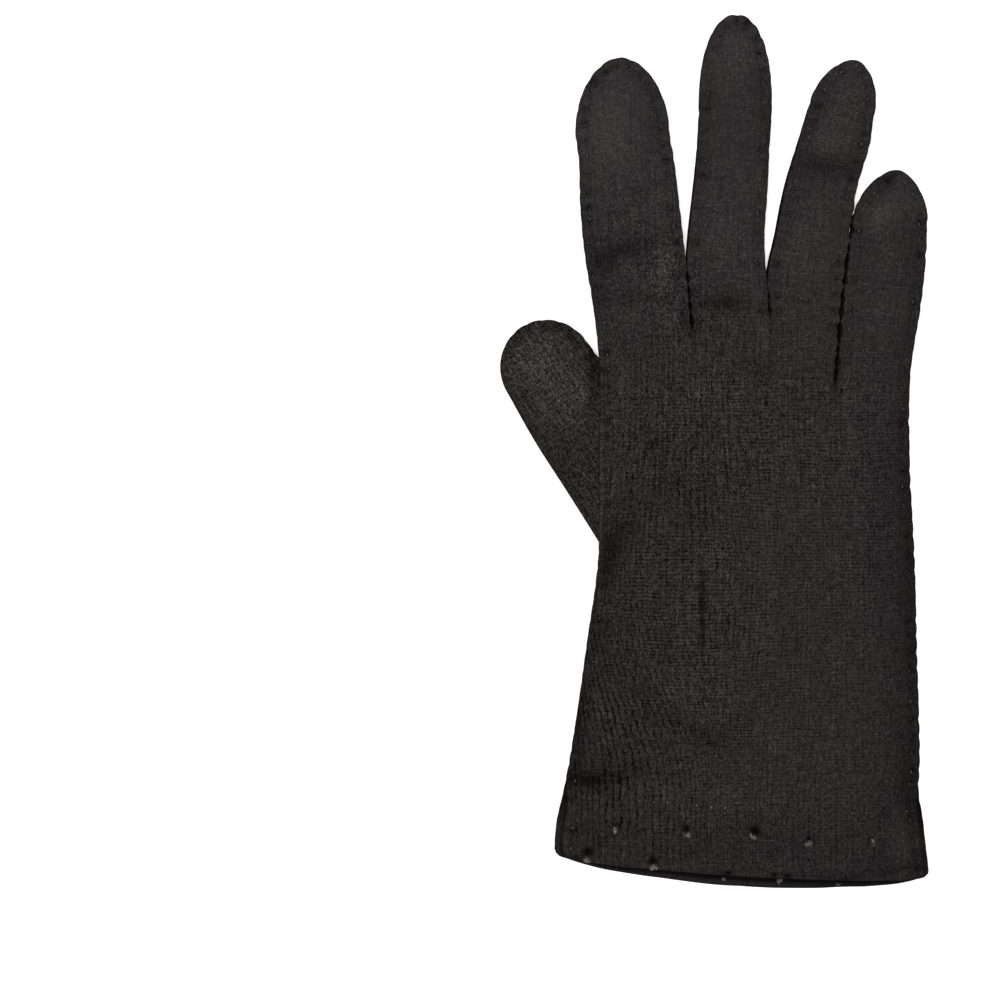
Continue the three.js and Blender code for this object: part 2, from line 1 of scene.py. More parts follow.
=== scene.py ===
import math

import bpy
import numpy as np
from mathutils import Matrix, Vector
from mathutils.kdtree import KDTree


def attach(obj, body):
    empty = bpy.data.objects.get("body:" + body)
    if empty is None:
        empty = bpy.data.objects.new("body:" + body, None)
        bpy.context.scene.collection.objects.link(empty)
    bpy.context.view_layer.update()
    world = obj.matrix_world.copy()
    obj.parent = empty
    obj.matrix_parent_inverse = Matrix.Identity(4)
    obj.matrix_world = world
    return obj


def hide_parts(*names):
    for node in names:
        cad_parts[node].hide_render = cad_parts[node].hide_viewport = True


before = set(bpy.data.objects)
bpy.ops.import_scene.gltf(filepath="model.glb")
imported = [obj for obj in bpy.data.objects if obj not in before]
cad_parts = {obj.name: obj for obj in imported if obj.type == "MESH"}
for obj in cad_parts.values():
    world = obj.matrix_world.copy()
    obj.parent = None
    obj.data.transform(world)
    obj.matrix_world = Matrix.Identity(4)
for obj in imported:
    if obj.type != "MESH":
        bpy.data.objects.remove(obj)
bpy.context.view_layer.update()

# Looks of an evening glove for the right hand, in fine double knit cloth with hand sewn outside
# seams. It lies palm down with its thumb folded under the palm.
# Lengths are in millimetres, and make_object turns them into metres: X runs across the hand, Y from
# the cuff to the fingertips and Z up. The outline repeats the one of the solids that it replaces.

MM = 0.001
UV_UNIT = 100.0  # millimetres of cloth for one unit of the cloth map
draws = np.random.default_rng(11)

# Cloth, seams and hem
WALL = 1.0
LAYER_GAP = 0.3  # from the back's seam allowance to the palm's in the solids
SEAM_WALL = 1.13  # cloth in the seam allowances, which almost touch
SEAM = 2.3
RIM_SHADE = 0.55  # painted shade on the cloth's cut edges, which turn away from the light
RIM_LOOKS = 0.35  # how much of the knit shows on them
LIP_PAINTED_SHADE = 0.62  # painted shade on the palm's inner face, seen beside the cuff below the back's edge
LIP_HIDDEN = 1.4  # how far the back's edge hides it, as it is higher
# The fourchettes' tone is painted shade, as they lie deep between the fingers
GUSSET_LOOKS = {"tone": 0.3, "grain": 0.6}
INSIDE_PAINTED_SHADE = 0.4  # painted shade on the palm's inner face deep inside, next to the one at the cuff
HEM_DEPTH = 18.2
HEM_EXTRA = 1.0
CUFF_CORNERS = (-109.0, -114.75)
CUFF_SIDES = (-97, -87)  # y between which the drawing in of its side edges fades out
CUFF_SAG = {"back": 2.15, "palm": 5.6}
CUFF_BENDS = (2.9, 3.7)  # how late the cuff's edge bends, at its left and its right corner
CUFF_WAVE = {"rise": 0.075, "at": 0.247, "length": 0.53}  # in shares of its sag and of its width

# Heights above the surface
FINGER_HEIGHT = 6.8
PALM_HEIGHT = 8.0
CUFF_HEIGHT = 7.6
CUFF_LEVEL = -112
CUFF_LOWERS = (CUFF_LEVEL + HEM_DEPTH / 2, -70)
THUMB_HEIGHT = 6.3
SEAM_BASE = 1.6
GUSSET_BASE = 0.3
GUSSET_RISE = 3.6
SEAM_SETTLE = 0.85
BACK_ROUND = 6.0
PALM_ROUND = 4.5
ROUND_POWER = 2.4
BODY_RISE = (5, 18)
FULL_LIFT = THUMB_HEIGHT + LAYER_GAP
MOUND_MARGIN = 1.5
MOUND_FADE = 14
MOUND_SHARE = 0.485

# Outline: side seams of the hand as (y, left, right)
HAND = [
    (-114, -43.4, 58), (-104, -43.2, 56.8), (-99, -42.6, 56.25), (-94, -41.4, 55.4),
    (-80, -38.75, 55.25), (-55, -35.05, 54.55), (-30, -31.9, 53.9), (0, -31.5, 52.5),
    (22, -31.5, 52.85), (40, -33.2, 55.65), (54, -35.3, 57.05),
]
# Slits between two fingers as (x, y) of the bottom, then (x, y) where the fingers part
FORKS = [
    (-6.3, 31.8, -7.8, 48.2), (14.6, 34.8, 13.85, 43.6), (31.8, 17, 37.1, 64.8),
]
SLIT_WIDTH = 0.01
SLIT_BOWS = (0, 0, -0.4)  # how far a slit bows to the side in its middle
SLIT_OPENS = (0.47, 0.34, 0.42)  # how far the back's edges stand back from each slit
SLIT_START = 3
CORNER_DRAW, CORNER_REACH = 0.42, 0.9  # how much the cuff's corners are rounded
SEAM_BULGE, HEM_BULGE = 0.22, 0.5  # how far the cloth's rounded rim stands out
RIM_REACH = 2.2  # how far inside an edge the cloth is drawn in for its rim
EDGE_REACH = 2.4  # and how far inside it for its stitches
BENT_ROWS = 55  # how far from the cuff's edge the rows of the mesh still bend with it
SLIT_ENDS = (0.35, 0.7, 0.978)  # shares of a slit's length up to which it keeps its direction
# Edges of each finger above its slits, left and right, as (y, x)
FINGER_SIDES = [
    ([(68, -36.5), (79, -36.8)], [(68, -10.0), (79, -11.2)]),
    ([(58, -7.35), (68, -6.25), (82, -4.85)], [(58, 13.05), (68, 13.75), (82, 14.55)]),
    ([(60, 16.5), (72, 18.95), (84, 22.55)], [(68, 37.35), (72, 38.35), (84, 41.95)]),
    ([], []),
]
# Rounded end of each finger: x and y of its tip, lean in degrees, length, half width and power
FINGER_ENDS = [
    (-25.7, 106.2, -2.0, 20.0, 12.7, 1.9),
    (5.7, 117.8, 0.5, 24.0, 9.85, 2.2),
    (38.3, 105.4, 17.2, 12.8, 8.8, 1.75),
    (49.3, 75.9, 8.0, 13.5, 10.0, 1.68),
]
FOURCHETTE_TAPER = 30  # length over which it narrows to its ends
FOURCHETTE_DEPTH = 3.3
FOURCHETTE_POINT = 0.22  # share of the full parting at which it ends
FOURCHETTE_GAP = 0.22  # from it to the seam layers above and below it
# Depth along its edges, which are rounded a little, at shares of the cloth's thickness
FOURCHETTE_EDGE = ((0.62, 0), (0.42, 0.2), (0.42, 0.8), (0.62, 1))

# Thumb, along from the centre of its tip towards its root and across: (along, left, right)
THUMB = {"x": -44.8, "y": 22.4, "lean": 32.6, "tip": 13.4, "root": 14}
THUMB_ROWS = [
    (0, -13.1, 12.5), (14, -13.9, 13.5), (30, -13.9, 15.5), (46, -14, 18.4), (60, -14.4, 17.8),
    (73, -15.4, 14.6), (86, -16.2, 9.4),
]
THUMB_MIDDLE = 3.15
THUMB_SEAM = 2.3
THUMB_FOLD = 3.6  # width over which its folded edge is rounded
THUMB_GAP = 0.12  # between it and the surface below, and between it and the palm above
SEAM_STARTS, STITCHES_START = (-10.5, -4.5), -8  # where across it the fold becomes a seam
THUMB_HOLE = {"x": -7.5, "y": -33.5, "half_width": 9.0, "half_height": 21.5}
HOLE_SNAP = 0.36  # how near to the opening's edge a point is moved onto it

# Mesh density
ROW_PITCH = 0.8
END_ROWS = 22
COLUMNS = 34
SEAM_COLUMNS = [0, 0.45, 0.85, 1.3, 1.75, 2.1, 2.5, 2.95, 3.5, 4.2, 5.1, 6.2]
FORK_BLEND = 15

# Stitches
STITCH_PITCH = 4.45
FIRST_STITCH = 2.4  # from the end of a seam
STITCH_INSET = 2.35
# Corners of a stitch's path, its rise, its dip at the ends, its radius and how it thins out
PRICK = (7, 0.14, 0.32, 0.15, 0.35)
HEM_DOT = (5, 0.12, 0.3, 0.2, 0.3)
HEM_ROW = {"start": -35.3, "end": 52, "pitch": 3.74}  # of the stitches that hold the hem
THREAD_SIDES = 6
# Knots of thread on the cuff, in two rows: place, direction in degrees, length, width and tone; the
# low tone of the three on the palm's lip, below the back's edge, is painted shade
KNOTS = [
    (-27.2, -101.9, 75, 2.1, 1.4, 1), (-7.9, -103, -25, 2.2, 1.8, 0.85),
    (9.6, -103.4, -40, 2.8, 1.5, 1), (24.5, -105.3, 15, 2.4, 1.7, 0.8),
    (42, -105, 100, 2.5, 1.1, 0.75), (-34.6, -110, -20, 2.4, 1.8, 0.75),
    (-16.9, -111.8, 10, 2.5, 1.9, 0.95), (2.4, -115.7, -35, 2.4, 1.3, 0.24),
    (17.3, -115.7, 85, 2.5, 1.7, 0.38), (33.1, -116.8, 5, 1.8, 1.2, 0.16),
]
KNOT_STRAND = (0.13, 0.19)  # radius of a strand, from its thinnest to its thickest
# Hollows that the knots and the ends of the slits pull into the cloth, with painted shade in them:
# place and radius
HOLLOWS = [
    (-26.7, -100.4, 0.6), (-8.1, -101.2, 1), (10.3, -101.9, 1.5), (24.4, -103.8, 0.8),
    (41.2, -104, 0.5), (-34.6, -107.7, 1.6), (-37.6, -109.9, 0.9), (-17.1, -109.9, 1.4),
    (2.9, -114, 1.3), (18.9, -114.3, 1.1), (15.3, -114.1, 0.9), (34.4, -115, 0.7),
    (33.6, 15.9, 0.55), (28, 15.6, 0.45), (-9.9, 29.6, 0.45),
]


def mix(a, b, share):
    return a + (b - a) * share


def step(value, low, high):
    t = np.clip((value - low) / (high - low), 0, 1)
    return t * t * (3 - 2 * t)


def round_off(distance, width):
    """Rounding of the cloth inside a seam: 0 at the stitches, 1 where it is flat again."""
    return 1 - (1 - np.clip(distance / width, 0, 1)) ** ROUND_POWER


def bell(value, width):
    return np.exp(-((value / width) ** 2))


# Outline of the hand
def curve_through(rows, end_slope):
    """Smooth second value over the first through rows of two, which ends with a given slope."""
    at, value = np.array(rows, float).T
    span = np.diff(at)
    chord = np.diff(value) / span
    slopes = np.empty(len(at))
    slopes[0] = chord[0]
    slopes[-1] = end_slope
    slopes[1:-1] = (chord[:-1] * span[1:] + chord[1:] * span[:-1]) / (span[:-1] + span[1:])

    def curve(where):
        where = np.asarray(where, float)
        i = np.clip(np.searchsorted(at, where) - 1, 0, len(span) - 1)
        t = (where - at[i]) / span[i]
        rest = 1 - t
        start = rest**2 * ((1 + 2 * t) * value[i] + t * span[i] * slopes[i])
        end = t**2 * ((1 + 2 * rest) * value[i + 1] - rest * span[i] * slopes[i + 1])
        return start + end

    return curve


def plan_tree(points):
    """Search tree over the plan of points."""
    tree = KDTree(len(points))
    for i, point in enumerate(points):
        tree.insert((point[0], point[1], 0), i)
    tree.balance()
    return tree


def nearest_in(tree, points):
    return np.array([tree.find((x, y, 0))[1] for x, y in points])


def lengths_along(line):
    steps = np.linalg.norm(np.diff(line, axis=0), axis=1)
    return np.concatenate([[0], np.cumsum(steps)])


def ring_of(grid):
    """Points round a grid, which run up its first column and down its last one."""
    return np.concatenate([grid[::-1, 0], grid[0, 1:-1], grid[:, -1], grid[-1, -2:0:-1]])


def end_point(k, degrees, side):
    """Point on one side of a finger's rounded end, at an angle up from its start."""
    x, y, lean, length, half, power = FINGER_ENDS[k]
    lean, angle = math.radians(lean), math.radians(degrees)
    up = np.array([math.sin(lean), math.cos(lean)])
    across = np.array([up[1], -up[0]])
    rise = length * math.sin(angle) ** (2 / power)
    reach = side * half * math.cos(angle) ** (2 / power)
    return np.array([x, y]) - length * up + rise * up + reach * across


def slit_rows(k, side):
    """Rows (y, x) of a finger's edge in a slit, on one side of its middle."""
    x, y, top_x, top_y = FORKS[k]
    climb = (top_x - x) / (top_y - y)
    half = side * SLIT_WIDTH / 2
    rows = [(y, x), (y + SLIT_START, x + climb * SLIT_START + half * 2 / 3)]
    for share in (*SLIT_ENDS, 1):
        at = mix(y, top_y, share)
        rows.append((at, x + climb * (at - y) + SLIT_BOWS[k] * math.sin(math.pi * share) + half))
    return rows


def finger_edge(k, side):
    """One side of a finger as a curve, and the y at which its rounded end starts."""
    if k == (0 if side < 0 else 3):
        start = [(y, left if side < 0 else right) for y, left, right in HAND]
    else:
        start = slit_rows(k - (side < 0), -side)
    x, y = end_point(k, 0, side)
    slope = math.tan(math.radians(FINGER_ENDS[k][2]))
    return curve_through([*start, *FINGER_SIDES[k][side > 0], (y, x)], slope), y


left_edges, left_tops = zip(*(finger_edge(k, -1) for k in range(4)))
right_edges, right_tops = zip(*(finger_edge(k, 1) for k in range(4)))
hand_left, hand_right = left_edges[0], right_edges[3]
ROOT = FORKS[1][1]
HAND_WIDTH = 88.5  # width of the cloth across the knuckles


def hand_share(x, y):
    return (x - hand_left(y)) / (hand_right(y) - hand_left(y))


borders = [0, *(hand_share(x, y) for x, y, *_ in FORKS), 1]


def edge_x(edge, border, y):
    """x of a strip's edge: the finger's above its slit, and a share of the hand's width below."""
    if border in (0, 4):
        return edge(y)
    shared = mix(hand_left(y), hand_right(y), borders[border])
    return np.where(y > FORKS[border - 1][1], edge(y), shared)


def left_x(k, y):
    return edge_x(left_edges[k], k, y)


def right_x(k, y):
    return edge_x(right_edges[k], k + 1, y)


def column_shares(width, left_seam, right_seam):
    """Shares of a row's width for its columns, which gather near an edge that has a seam."""
    even = np.arange(COLUMNS + 1) / COLUMNS
    close = np.array(SEAM_COLUMNS) / width
    rest = np.linspace(close[-1], 0.5, COLUMNS // 2 - len(close) + 2)[1:]
    near = even.copy()
    near[: COLUMNS // 2 + 1] = np.minimum(even[: COLUMNS // 2 + 1], np.concatenate([close, rest]))
    far = 1 - near[::-1]
    shares = np.where(even < 0.5, mix(even, near, left_seam), mix(even, far, right_seam))
    return np.where(even == 0.5, 0.5, shares)


def seam_near(fork, y):
    return step(y, FORKS[fork][1] - FORK_BLEND, FORKS[fork][1]) if 0 <= fork < 3 else 1


def cuff_edge(share, sag):
    bend = 1 - np.abs(2 * share - 1) ** mix(CUFF_BENDS[0], CUFF_BENDS[1], share)
    wave = np.cos(2 * math.pi * (share - CUFF_WAVE["at"]) / CUFF_WAVE["length"])
    bend = bend - CUFF_WAVE["rise"] * wave * (1 - (2 * share - 1) ** 4)
    return mix(CUFF_CORNERS[0], CUFF_CORNERS[1], share) - sag * bend


def hand_rows():
    """Rows of the hand as their level and share of the cuff's bend, and each slit's row."""
    distances = np.linspace(0, BENT_ROWS, round(BENT_ROWS / ROW_PITCH))
    rows = [(CUFF_LEVEL + distance, 1 - distance / BENT_ROWS) for distance in distances]
    fork_rows = {}
    for fork in (2, 0, 1):
        level, top = rows[-1][0], FORKS[fork][1]
        count = max(3, round((top - level) / ROW_PITCH))
        rows += [(y, 0) for y in np.linspace(level, top, count + 1)[1:]]
        fork_rows[fork] = len(rows) - 1
    return rows, fork_rows


def row_y(row, across, sag):
    level, share = row
    return level + share * (cuff_edge(across, sag) - CUFF_LEVEL)


def strip(k, rows, sag):
    """Points of one strip, from the cuff to a finger's tip, and their places on the cloth."""
    points, places = [], []
    for row in rows:
        middle = row_y(row, (borders[k] + borders[k + 1]) / 2, sag)
        width = right_x(k, middle) - left_x(k, middle)
        shares = column_shares(width, seam_near(k - 1, middle), seam_near(k, middle))
        across = mix(borders[k], borders[k + 1], shares)
        y = row_y(row, across, sag)
        points.append(np.column_stack([mix(left_x(k, y), right_x(k, y), shares), y]))
        places.append(np.column_stack([across * HAND_WIDTH, y]))
    first, last = points[-1][[0, -1]]
    spare = (borders[k + 1] - borders[k]) * HAND_WIDTH - np.linalg.norm(last - first)
    cloth_middle = (borders[k + 1] + borders[k]) / 2 * HAND_WIDTH
    ends = []
    count = round((left_tops[k] - ROOT) / ROW_PITCH)
    for share in np.arange(1, count + 1) / count:
        left_y, right_y = mix(ROOT, left_tops[k], share), mix(ROOT, right_tops[k], share)
        ends.append(((left_edges[k](left_y), left_y), (right_edges[k](right_y), right_y)))
    for degrees in np.linspace(4, 87.5, END_ROWS):
        ends.append([end_point(k, degrees, side) for side in (-1, 1)])
    centre, length = (first + last) / 2, ROOT
    for left, right in np.array(ends, float):
        width = np.linalg.norm(right - left)
        shares = column_shares(width, 1, 1)
        points.append(mix(left, right, shares[:, None]))
        length += np.linalg.norm((left + right) / 2 - centre)
        centre = (left + right) / 2
        cloth = cloth_middle + (shares - 0.5) * (spare + width)
        places.append(np.column_stack([cloth, np.full(len(shares), length)]))
    return np.array(points), np.array(places)


def panel_plan(sag):
    """Plan of one panel: points, places on the cloth, grids, fingers' outlines and cuff's edge."""
    rows, fork_rows = hand_rows()
    points, places, grids = [], [], []
    count = 0
    for k in range(4):
        strip_points, strip_places = strip(k, rows, sag)
        own = np.ones(strip_points.shape[:2], bool)
        shared = fork_rows[k - 1] + 1 if k else 0
        own[:shared, 0] = False
        grid = np.empty(own.shape, int)
        grid[own] = count + np.arange(own.sum())
        if k:
            grid[:shared, 0] = grids[-1][:shared, -1]
        count += own.sum()
        points.append(strip_points[own])
        places.append(strip_places[own])
        grids.append(grid)
    outlines = []
    for k, grid in enumerate(grids):
        left = grid[fork_rows[k - 1] if k else 0:, 0]
        right = grid[fork_rows[k] if k < 3 else 0:, -1]
        outlines.append(np.concatenate([left, grid[-1, 1:-1], right[::-1]]))
    cuff = np.concatenate([grids[0][0], *(grid[0, 1:] for grid in grids[1:])])
    return np.concatenate(points), np.concatenate(places), grids, outlines, cuff[-2:0:-1]


# Seams
def taper(top, y):
    """Share of the full parting between back and palm, which the fourchette narrows to the tip."""
    return np.sin(np.pi / 2 * np.clip((top - y) / FOURCHETTE_TAPER, 0, 1))


def parting(k, x, y):
    """Share of the full parting at points of a finger's outline, which is 0 on the hand's sides."""
    middle = mix(left_x(k, y), right_x(k, y), 0.5)
    left = taper(left_tops[k], y) if k else 0
    return np.where(x < middle, left, taper(right_tops[k], y) if k < 3 else 0)


class Seams:
    """Seam lines, and for any point its nearest place on them."""

    def __init__(self, lines, partings):
        self.points = np.concatenate(lines)
        self.part = np.concatenate(partings)
        self.line = np.repeat(np.arange(len(lines)), [len(line) for line in lines])
        lengths = [lengths_along(line) for line in lines]
        self.length = np.concatenate(lengths)
        self.totals = [length[-1] for length in lengths]
        self.tree = plan_tree(self.points)

    def nearest(self, points):
        """Distance to the nearest seam, its line and the length along it, and the parting there."""
        found = nearest_in(self.tree, points)
        best = np.linalg.norm(points - self.points[found], axis=1)
        along, part = self.length[found], self.part[found]
        for side in (-1, 1):
            other = np.clip(found + side, 0, len(self.points) - 1)
            other = np.where(self.line[other] == self.line[found], other, found)
            edge = self.points[other] - self.points[found]
            size = np.maximum((edge**2).sum(1), 1e-9)
            t = np.clip(((points - self.points[found]) * edge).sum(1) / size, 0, 1)
            gap = np.linalg.norm(points - self.points[found] - t[:, None] * edge, axis=1)
            closer = gap < best
            best = np.where(closer, gap, best)
            along = np.where(closer, mix(self.length[found], self.length[other], t), along)
            part = np.where(closer, mix(self.part[found], self.part[other], t), part)
        return best, self.line[found], along, part


def stitch_places(total):
    """Lengths along a seam at which its stitches have their middle."""
    count = max(1, round((total - 2 * FIRST_STITCH) / STITCH_PITCH))
    even = np.linspace(FIRST_STITCH, total - FIRST_STITCH, count + 1)
    return even + draws.uniform(-0.4, 0.4, count + 1)


def offset_to(places, along):
    """Signed distance from lengths along a seam to the nearest of its stitches, and which it is."""
    i = np.clip(np.searchsorted(places, along), 1, len(places) - 1)
    i -= np.abs(along - places[i - 1]) < np.abs(along - places[i])
    return along - places[i], i


# Thumb under the palm
thumb_angle = math.radians(THUMB["lean"])
thumb_along = np.array([math.sin(thumb_angle), -math.cos(thumb_angle)])
thumb_across = np.array([math.cos(thumb_angle), math.sin(thumb_angle)])
thumb_centre = np.array([THUMB["x"], THUMB["y"]])
thumb_left = curve_through([(along, left) for along, left, right in THUMB_ROWS], -0.06)
thumb_right = curve_through([(along, right) for along, left, right in THUMB_ROWS], -0.42)


def thumb_plan():
    """Points of the thumb's rows, from its tip to its root, and their places on the cloth."""
    last = THUMB_ROWS[-1][0]
    rows = [(0, -THUMB["tip"], degrees) for degrees in np.linspace(87.5, 4, 18)]
    rows += [(along, 0, 0) for along in np.linspace(0, last, round(last / ROW_PITCH))]
    rows += [(last, THUMB["root"], degrees) for degrees in np.linspace(4, 87.5, 18)]
    points, places = [], []
    for along, length, degrees in rows:
        left, right = float(thumb_left(along)), float(thumb_right(along))
        middle, half = (left + right) / 2, (right - left) / 2 * math.cos(math.radians(degrees))
        along += length * math.sin(math.radians(degrees))
        across = mix(middle - half, middle + half, column_shares(2 * half, 1, 1))
        points.append(thumb_centre + along * thumb_along + across[:, None] * thumb_across)
        places.append(np.column_stack([across, np.full(len(across), -along)]))
    return np.array(points), np.array(places)


thumb_points, thumb_places = thumb_plan()
thumb_outline = ring_of(thumb_points[::-1])
closed_outline = np.vstack([thumb_outline, thumb_outline[:1]])
thumb_seams = Seams([closed_outline], [np.zeros(len(closed_outline))])


def inside(polygon, points):
    x, y = points.T
    result = np.zeros(len(points), bool)
    for (ax, ay), (bx, by) in zip(polygon, np.roll(polygon, -1, axis=0)):
        if ay != by:
            crosses = (ay > y) != (by > y)
            result ^= crosses & (x < ax + (bx - ax) * (y - ay) / (by - ay))
    return result


def lift_at(points):
    distance = thumb_seams.nearest(points)[0]
    fading = FULL_LIFT * (1 - step(distance, MOUND_MARGIN, MOUND_MARGIN + MOUND_FADE))
    return np.where(inside(thumb_outline, points), FULL_LIFT, fading)


# Folds and soft valleys in the back: middle, direction in degrees, length, width and depth
FOLDS = [
    (-7.8, -71.5, -37, 30, 6, 0.8), (-29.5, -90, 8, 18, 5, 0.6), (-24.3, 54, 10, 20, 5, 0.6),
    (-21, 41, 6, 18, 3.5, 0.4), (29.7, 76.5, -5, 16, 5, 0.5), (3.2, 40, 0, 12, 5, 0.5),
    (17.5, 24, -20, 16, 6, 0.5), (-4.3, -43.5, 90, 24, 2.2, 0.55), (-28.5, 12, 78, 12, 3, 0.5),
    (-25.5, -22.5, 14, 14, 4, 0.5),
]
# Soft swellings: middle, direction in degrees, length, width and height
SWELLINGS = [
    (-7.8, -36, 90, 56, 25, 0.8), (4.5, -66, 60, 16, 12, 0.5),
]


def soft_forms(points, table, power=2):
    """Sum of soft ovals: their middle, direction in degrees, length, width and size."""
    total = np.zeros(len(points))
    for x, y, turn, length, width, size in table:
        dx, dy = points[:, 0] - x, points[:, 1] - y
        cos, sin = math.cos(math.radians(turn)), math.sin(math.radians(turn))
        along, across = dx * cos + dy * sin, dy * cos - dx * sin
        reach = np.abs(2 * along / length) ** power + np.abs(2 * across / width) ** power
        total += size * np.exp(-reach)
    return total


def make_waves(count, shortest, longest, seed):
    random = np.random.default_rng(seed)
    angles = random.uniform(0, np.pi, count)
    lengths = random.uniform(shortest, longest, count)
    shifts = random.uniform(0, 2 * np.pi, count)
    k = 2 * np.pi / lengths

    def waves(points):
        x, y = points.T
        total = np.zeros(len(points))
        for i in range(count):
            phase = k[i] * (x * math.cos(angles[i]) + y * math.sin(angles[i])) + shifts[i]
            total += np.sin(phase + 0.6 * np.sin(0.37 * phase))
        return total / math.sqrt(count)

    return waves


broad_waves = make_waves(9, 16, 42, 3)
fine_waves = make_waves(14, 4.5, 11, 5)


def seam_heights(part, lift):
    base = SEAM_BASE * (1 - SEAM_SETTLE * lift / FULL_LIFT)
    palm = mix(base, GUSSET_BASE, part) + lift
    return palm, palm + 2 * WALL + LAYER_GAP + part * GUSSET_RISE


def stitch_forms(distance, offset):
    """Depth of the cloth round its stitches: a valley across the seam at each, puffs between."""
    hole = 0.34 * bell(offset, 0.75) * bell(distance - STITCH_INSET, 0.6)
    valley = 0.34 * bell(offset, 0.95) * (1 - step(distance, 2.0, 4.4))
    groove = 0.12 * bell(distance - STITCH_INSET, 0.8)
    between = step(np.abs(offset), 0.5, STITCH_PITCH / 2)
    puff = 0.16 * between * (bell(distance - 0.8, 1.0) + bell(distance - 3.9, 1.5))
    return hole + valley + groove - puff


def stitch_shade(distance, offset):
    """Share of light that reaches the cloth beside its stitches."""
    pull = bell(offset, 0.8) * (1 - step(distance, 1.8, 3.8))
    return 1 - 0.3 * pull - 0.65 * bell(offset, 0.85) * bell(distance - STITCH_INSET, 0.75)


def cuff_share(x):
    return np.clip(hand_share(x, CUFF_LEVEL), 0, 1)


def hem_distance(points, sag):
    return points[:, 1] - cuff_edge(cuff_share(points[:, 0]), sag)


class Cloth:
    """What the heights of one panel need to know about each of its points."""

    def __init__(self, points, outlines, side, sag):
        lines = [points[outline] for outline in outlines]
        parts = [parting(k, *line.T) for k, line in enumerate(lines)]
        self.seams = Seams(lines, parts)
        self.stitches = [stitch_places(total) for total in self.seams.totals]
        self.side = side
        self.distance, nearest, along, self.part = self.seams.nearest(points)
        self.offset = np.zeros(len(points))
        self.pull = np.ones(len(points))
        for k, places in enumerate(self.stitches):
            mine = nearest == k
            self.offset[mine], found = offset_to(places, along[mine])
            self.pull[mine] = draws.uniform(0.1, 1.25, len(places))[found]
        self.lift = lift_at(points)
        self.hem = hem_distance(points, sag)

    def notch(self):
        """How far the cut edge is drawn in at each stitch."""
        outside = 1 - (0.6 if self.side > 0 else 1) * np.minimum(self.part, 1)
        drawn = 0.2 * outside * self.pull * bell(self.offset, 0.9)
        return drawn * np.clip(1 - self.distance / EDGE_REACH, 0, 1)

    def heights(self, points):
        """Heights of the outer face, without and with the forms round its stitches and knots."""
        forms = np.minimum(self.pull * stitch_forms(self.distance, self.offset), 0.72)
        forms = forms + 0.16 * bell(self.hem - HEM_DEPTH, 0.7)
        waves = 0.22 * broad_waves(points) + 0.05 * fine_waves(points)
        waves *= step(self.distance, 1.5, 7)
        palm_edge, back_edge = seam_heights(self.part, self.lift)
        if self.side > 0:
            body = mix(CUFF_HEIGHT, PALM_HEIGHT, step(points[:, 1], *CUFF_LOWERS))
            flat = mix(FINGER_HEIGHT, body, step(self.distance, *BODY_RISE))
            flat = flat + MOUND_SHARE * self.lift
            flat = flat - soft_forms(points, FOLDS) + soft_forms(points, SWELLINGS, 4)
            plain = mix(back_edge, flat + waves, round_off(self.distance - SEAM, BACK_ROUND))
            dents = sum(0.8 * radius * np.exp(-away**2) for radius, away in hollows(points))
            return plain, plain - forms - dents
        under = 1 - self.lift / FULL_LIFT
        floor = self.lift + under * (0.35 + np.maximum(waves, -0.3))
        plain = mix(palm_edge, floor, round_off(self.distance - SEAM, PALM_ROUND))
        return plain, np.maximum(plain + forms * under, 0.0)


def hollows(points):
    """Radius of each hollow, and how many radii away from it the points are."""
    for x, y, radius in HOLLOWS:
        yield radius, np.hypot(points[:, 0] - x, points[:, 1] - y) / radius


def vertex_normals(points, quads):
    a, b, c, d = (points[quads[:, i]] for i in range(4))
    flat = np.cross(c - a, d - b)
    normals = np.zeros_like(points)
    for i in range(4):
        np.add.at(normals, quads[:, i], flat)
    return normals / np.maximum(np.linalg.norm(normals, axis=1, keepdims=True), 1e-12)


def grid_quads(grid):
    return np.stack([grid[:-1, :-1], grid[:-1, 1:], grid[1:, 1:], grid[1:, :-1]], -1).reshape(-1, 4)


def outward(points, loop):
    """Direction out of a clockwise loop at each of its points."""
    ring = points[loop]
    edges = np.roll(ring, -1, axis=0) - np.roll(ring, 1, axis=0)
    edges /= np.maximum(np.linalg.norm(edges, axis=1, keepdims=True), 1e-9)
    return np.stack([-edges[:, 1], edges[:, 0]], 1)


def hole_shape(points):
    """1 on the edge of the thumb's opening, and less inside it."""
    across = (points[:, 0] - THUMB_HOLE["x"]) / THUMB_HOLE["half_width"]
    return np.hypot(across, (points[:, 1] - THUMB_HOLE["y"]) / THUMB_HOLE["half_height"])


def snap_to_hole(points):
    """Moves the points next to the thumb's opening onto its edge."""
    middle = np.array([THUMB_HOLE["x"], THUMB_HOLE["y"]])
    on_edge = middle + (points - middle) / hole_shape(points)[:, None]
    near = np.linalg.norm(on_edge - points, axis=1) < HOLE_SNAP
    points[near] = on_edge[near]


def cut_hole(quads, points):
    """Quads outside the thumb's opening, and the edges round it as pairs of points."""
    cut = hole_shape(points[quads].mean(1)) < 1
    gone = {(a, b) for quad in quads[cut] for a, b in zip(quad, np.roll(quad, -1))}
    kept = quads[~cut]
    near = kept[hole_shape(points[kept].mean(1)) < 1.4]
    rim = [(a, b) for quad in near for a, b in zip(quad, np.roll(quad, -1)) if (b, a) in gone]
    return kept, np.array(rim)


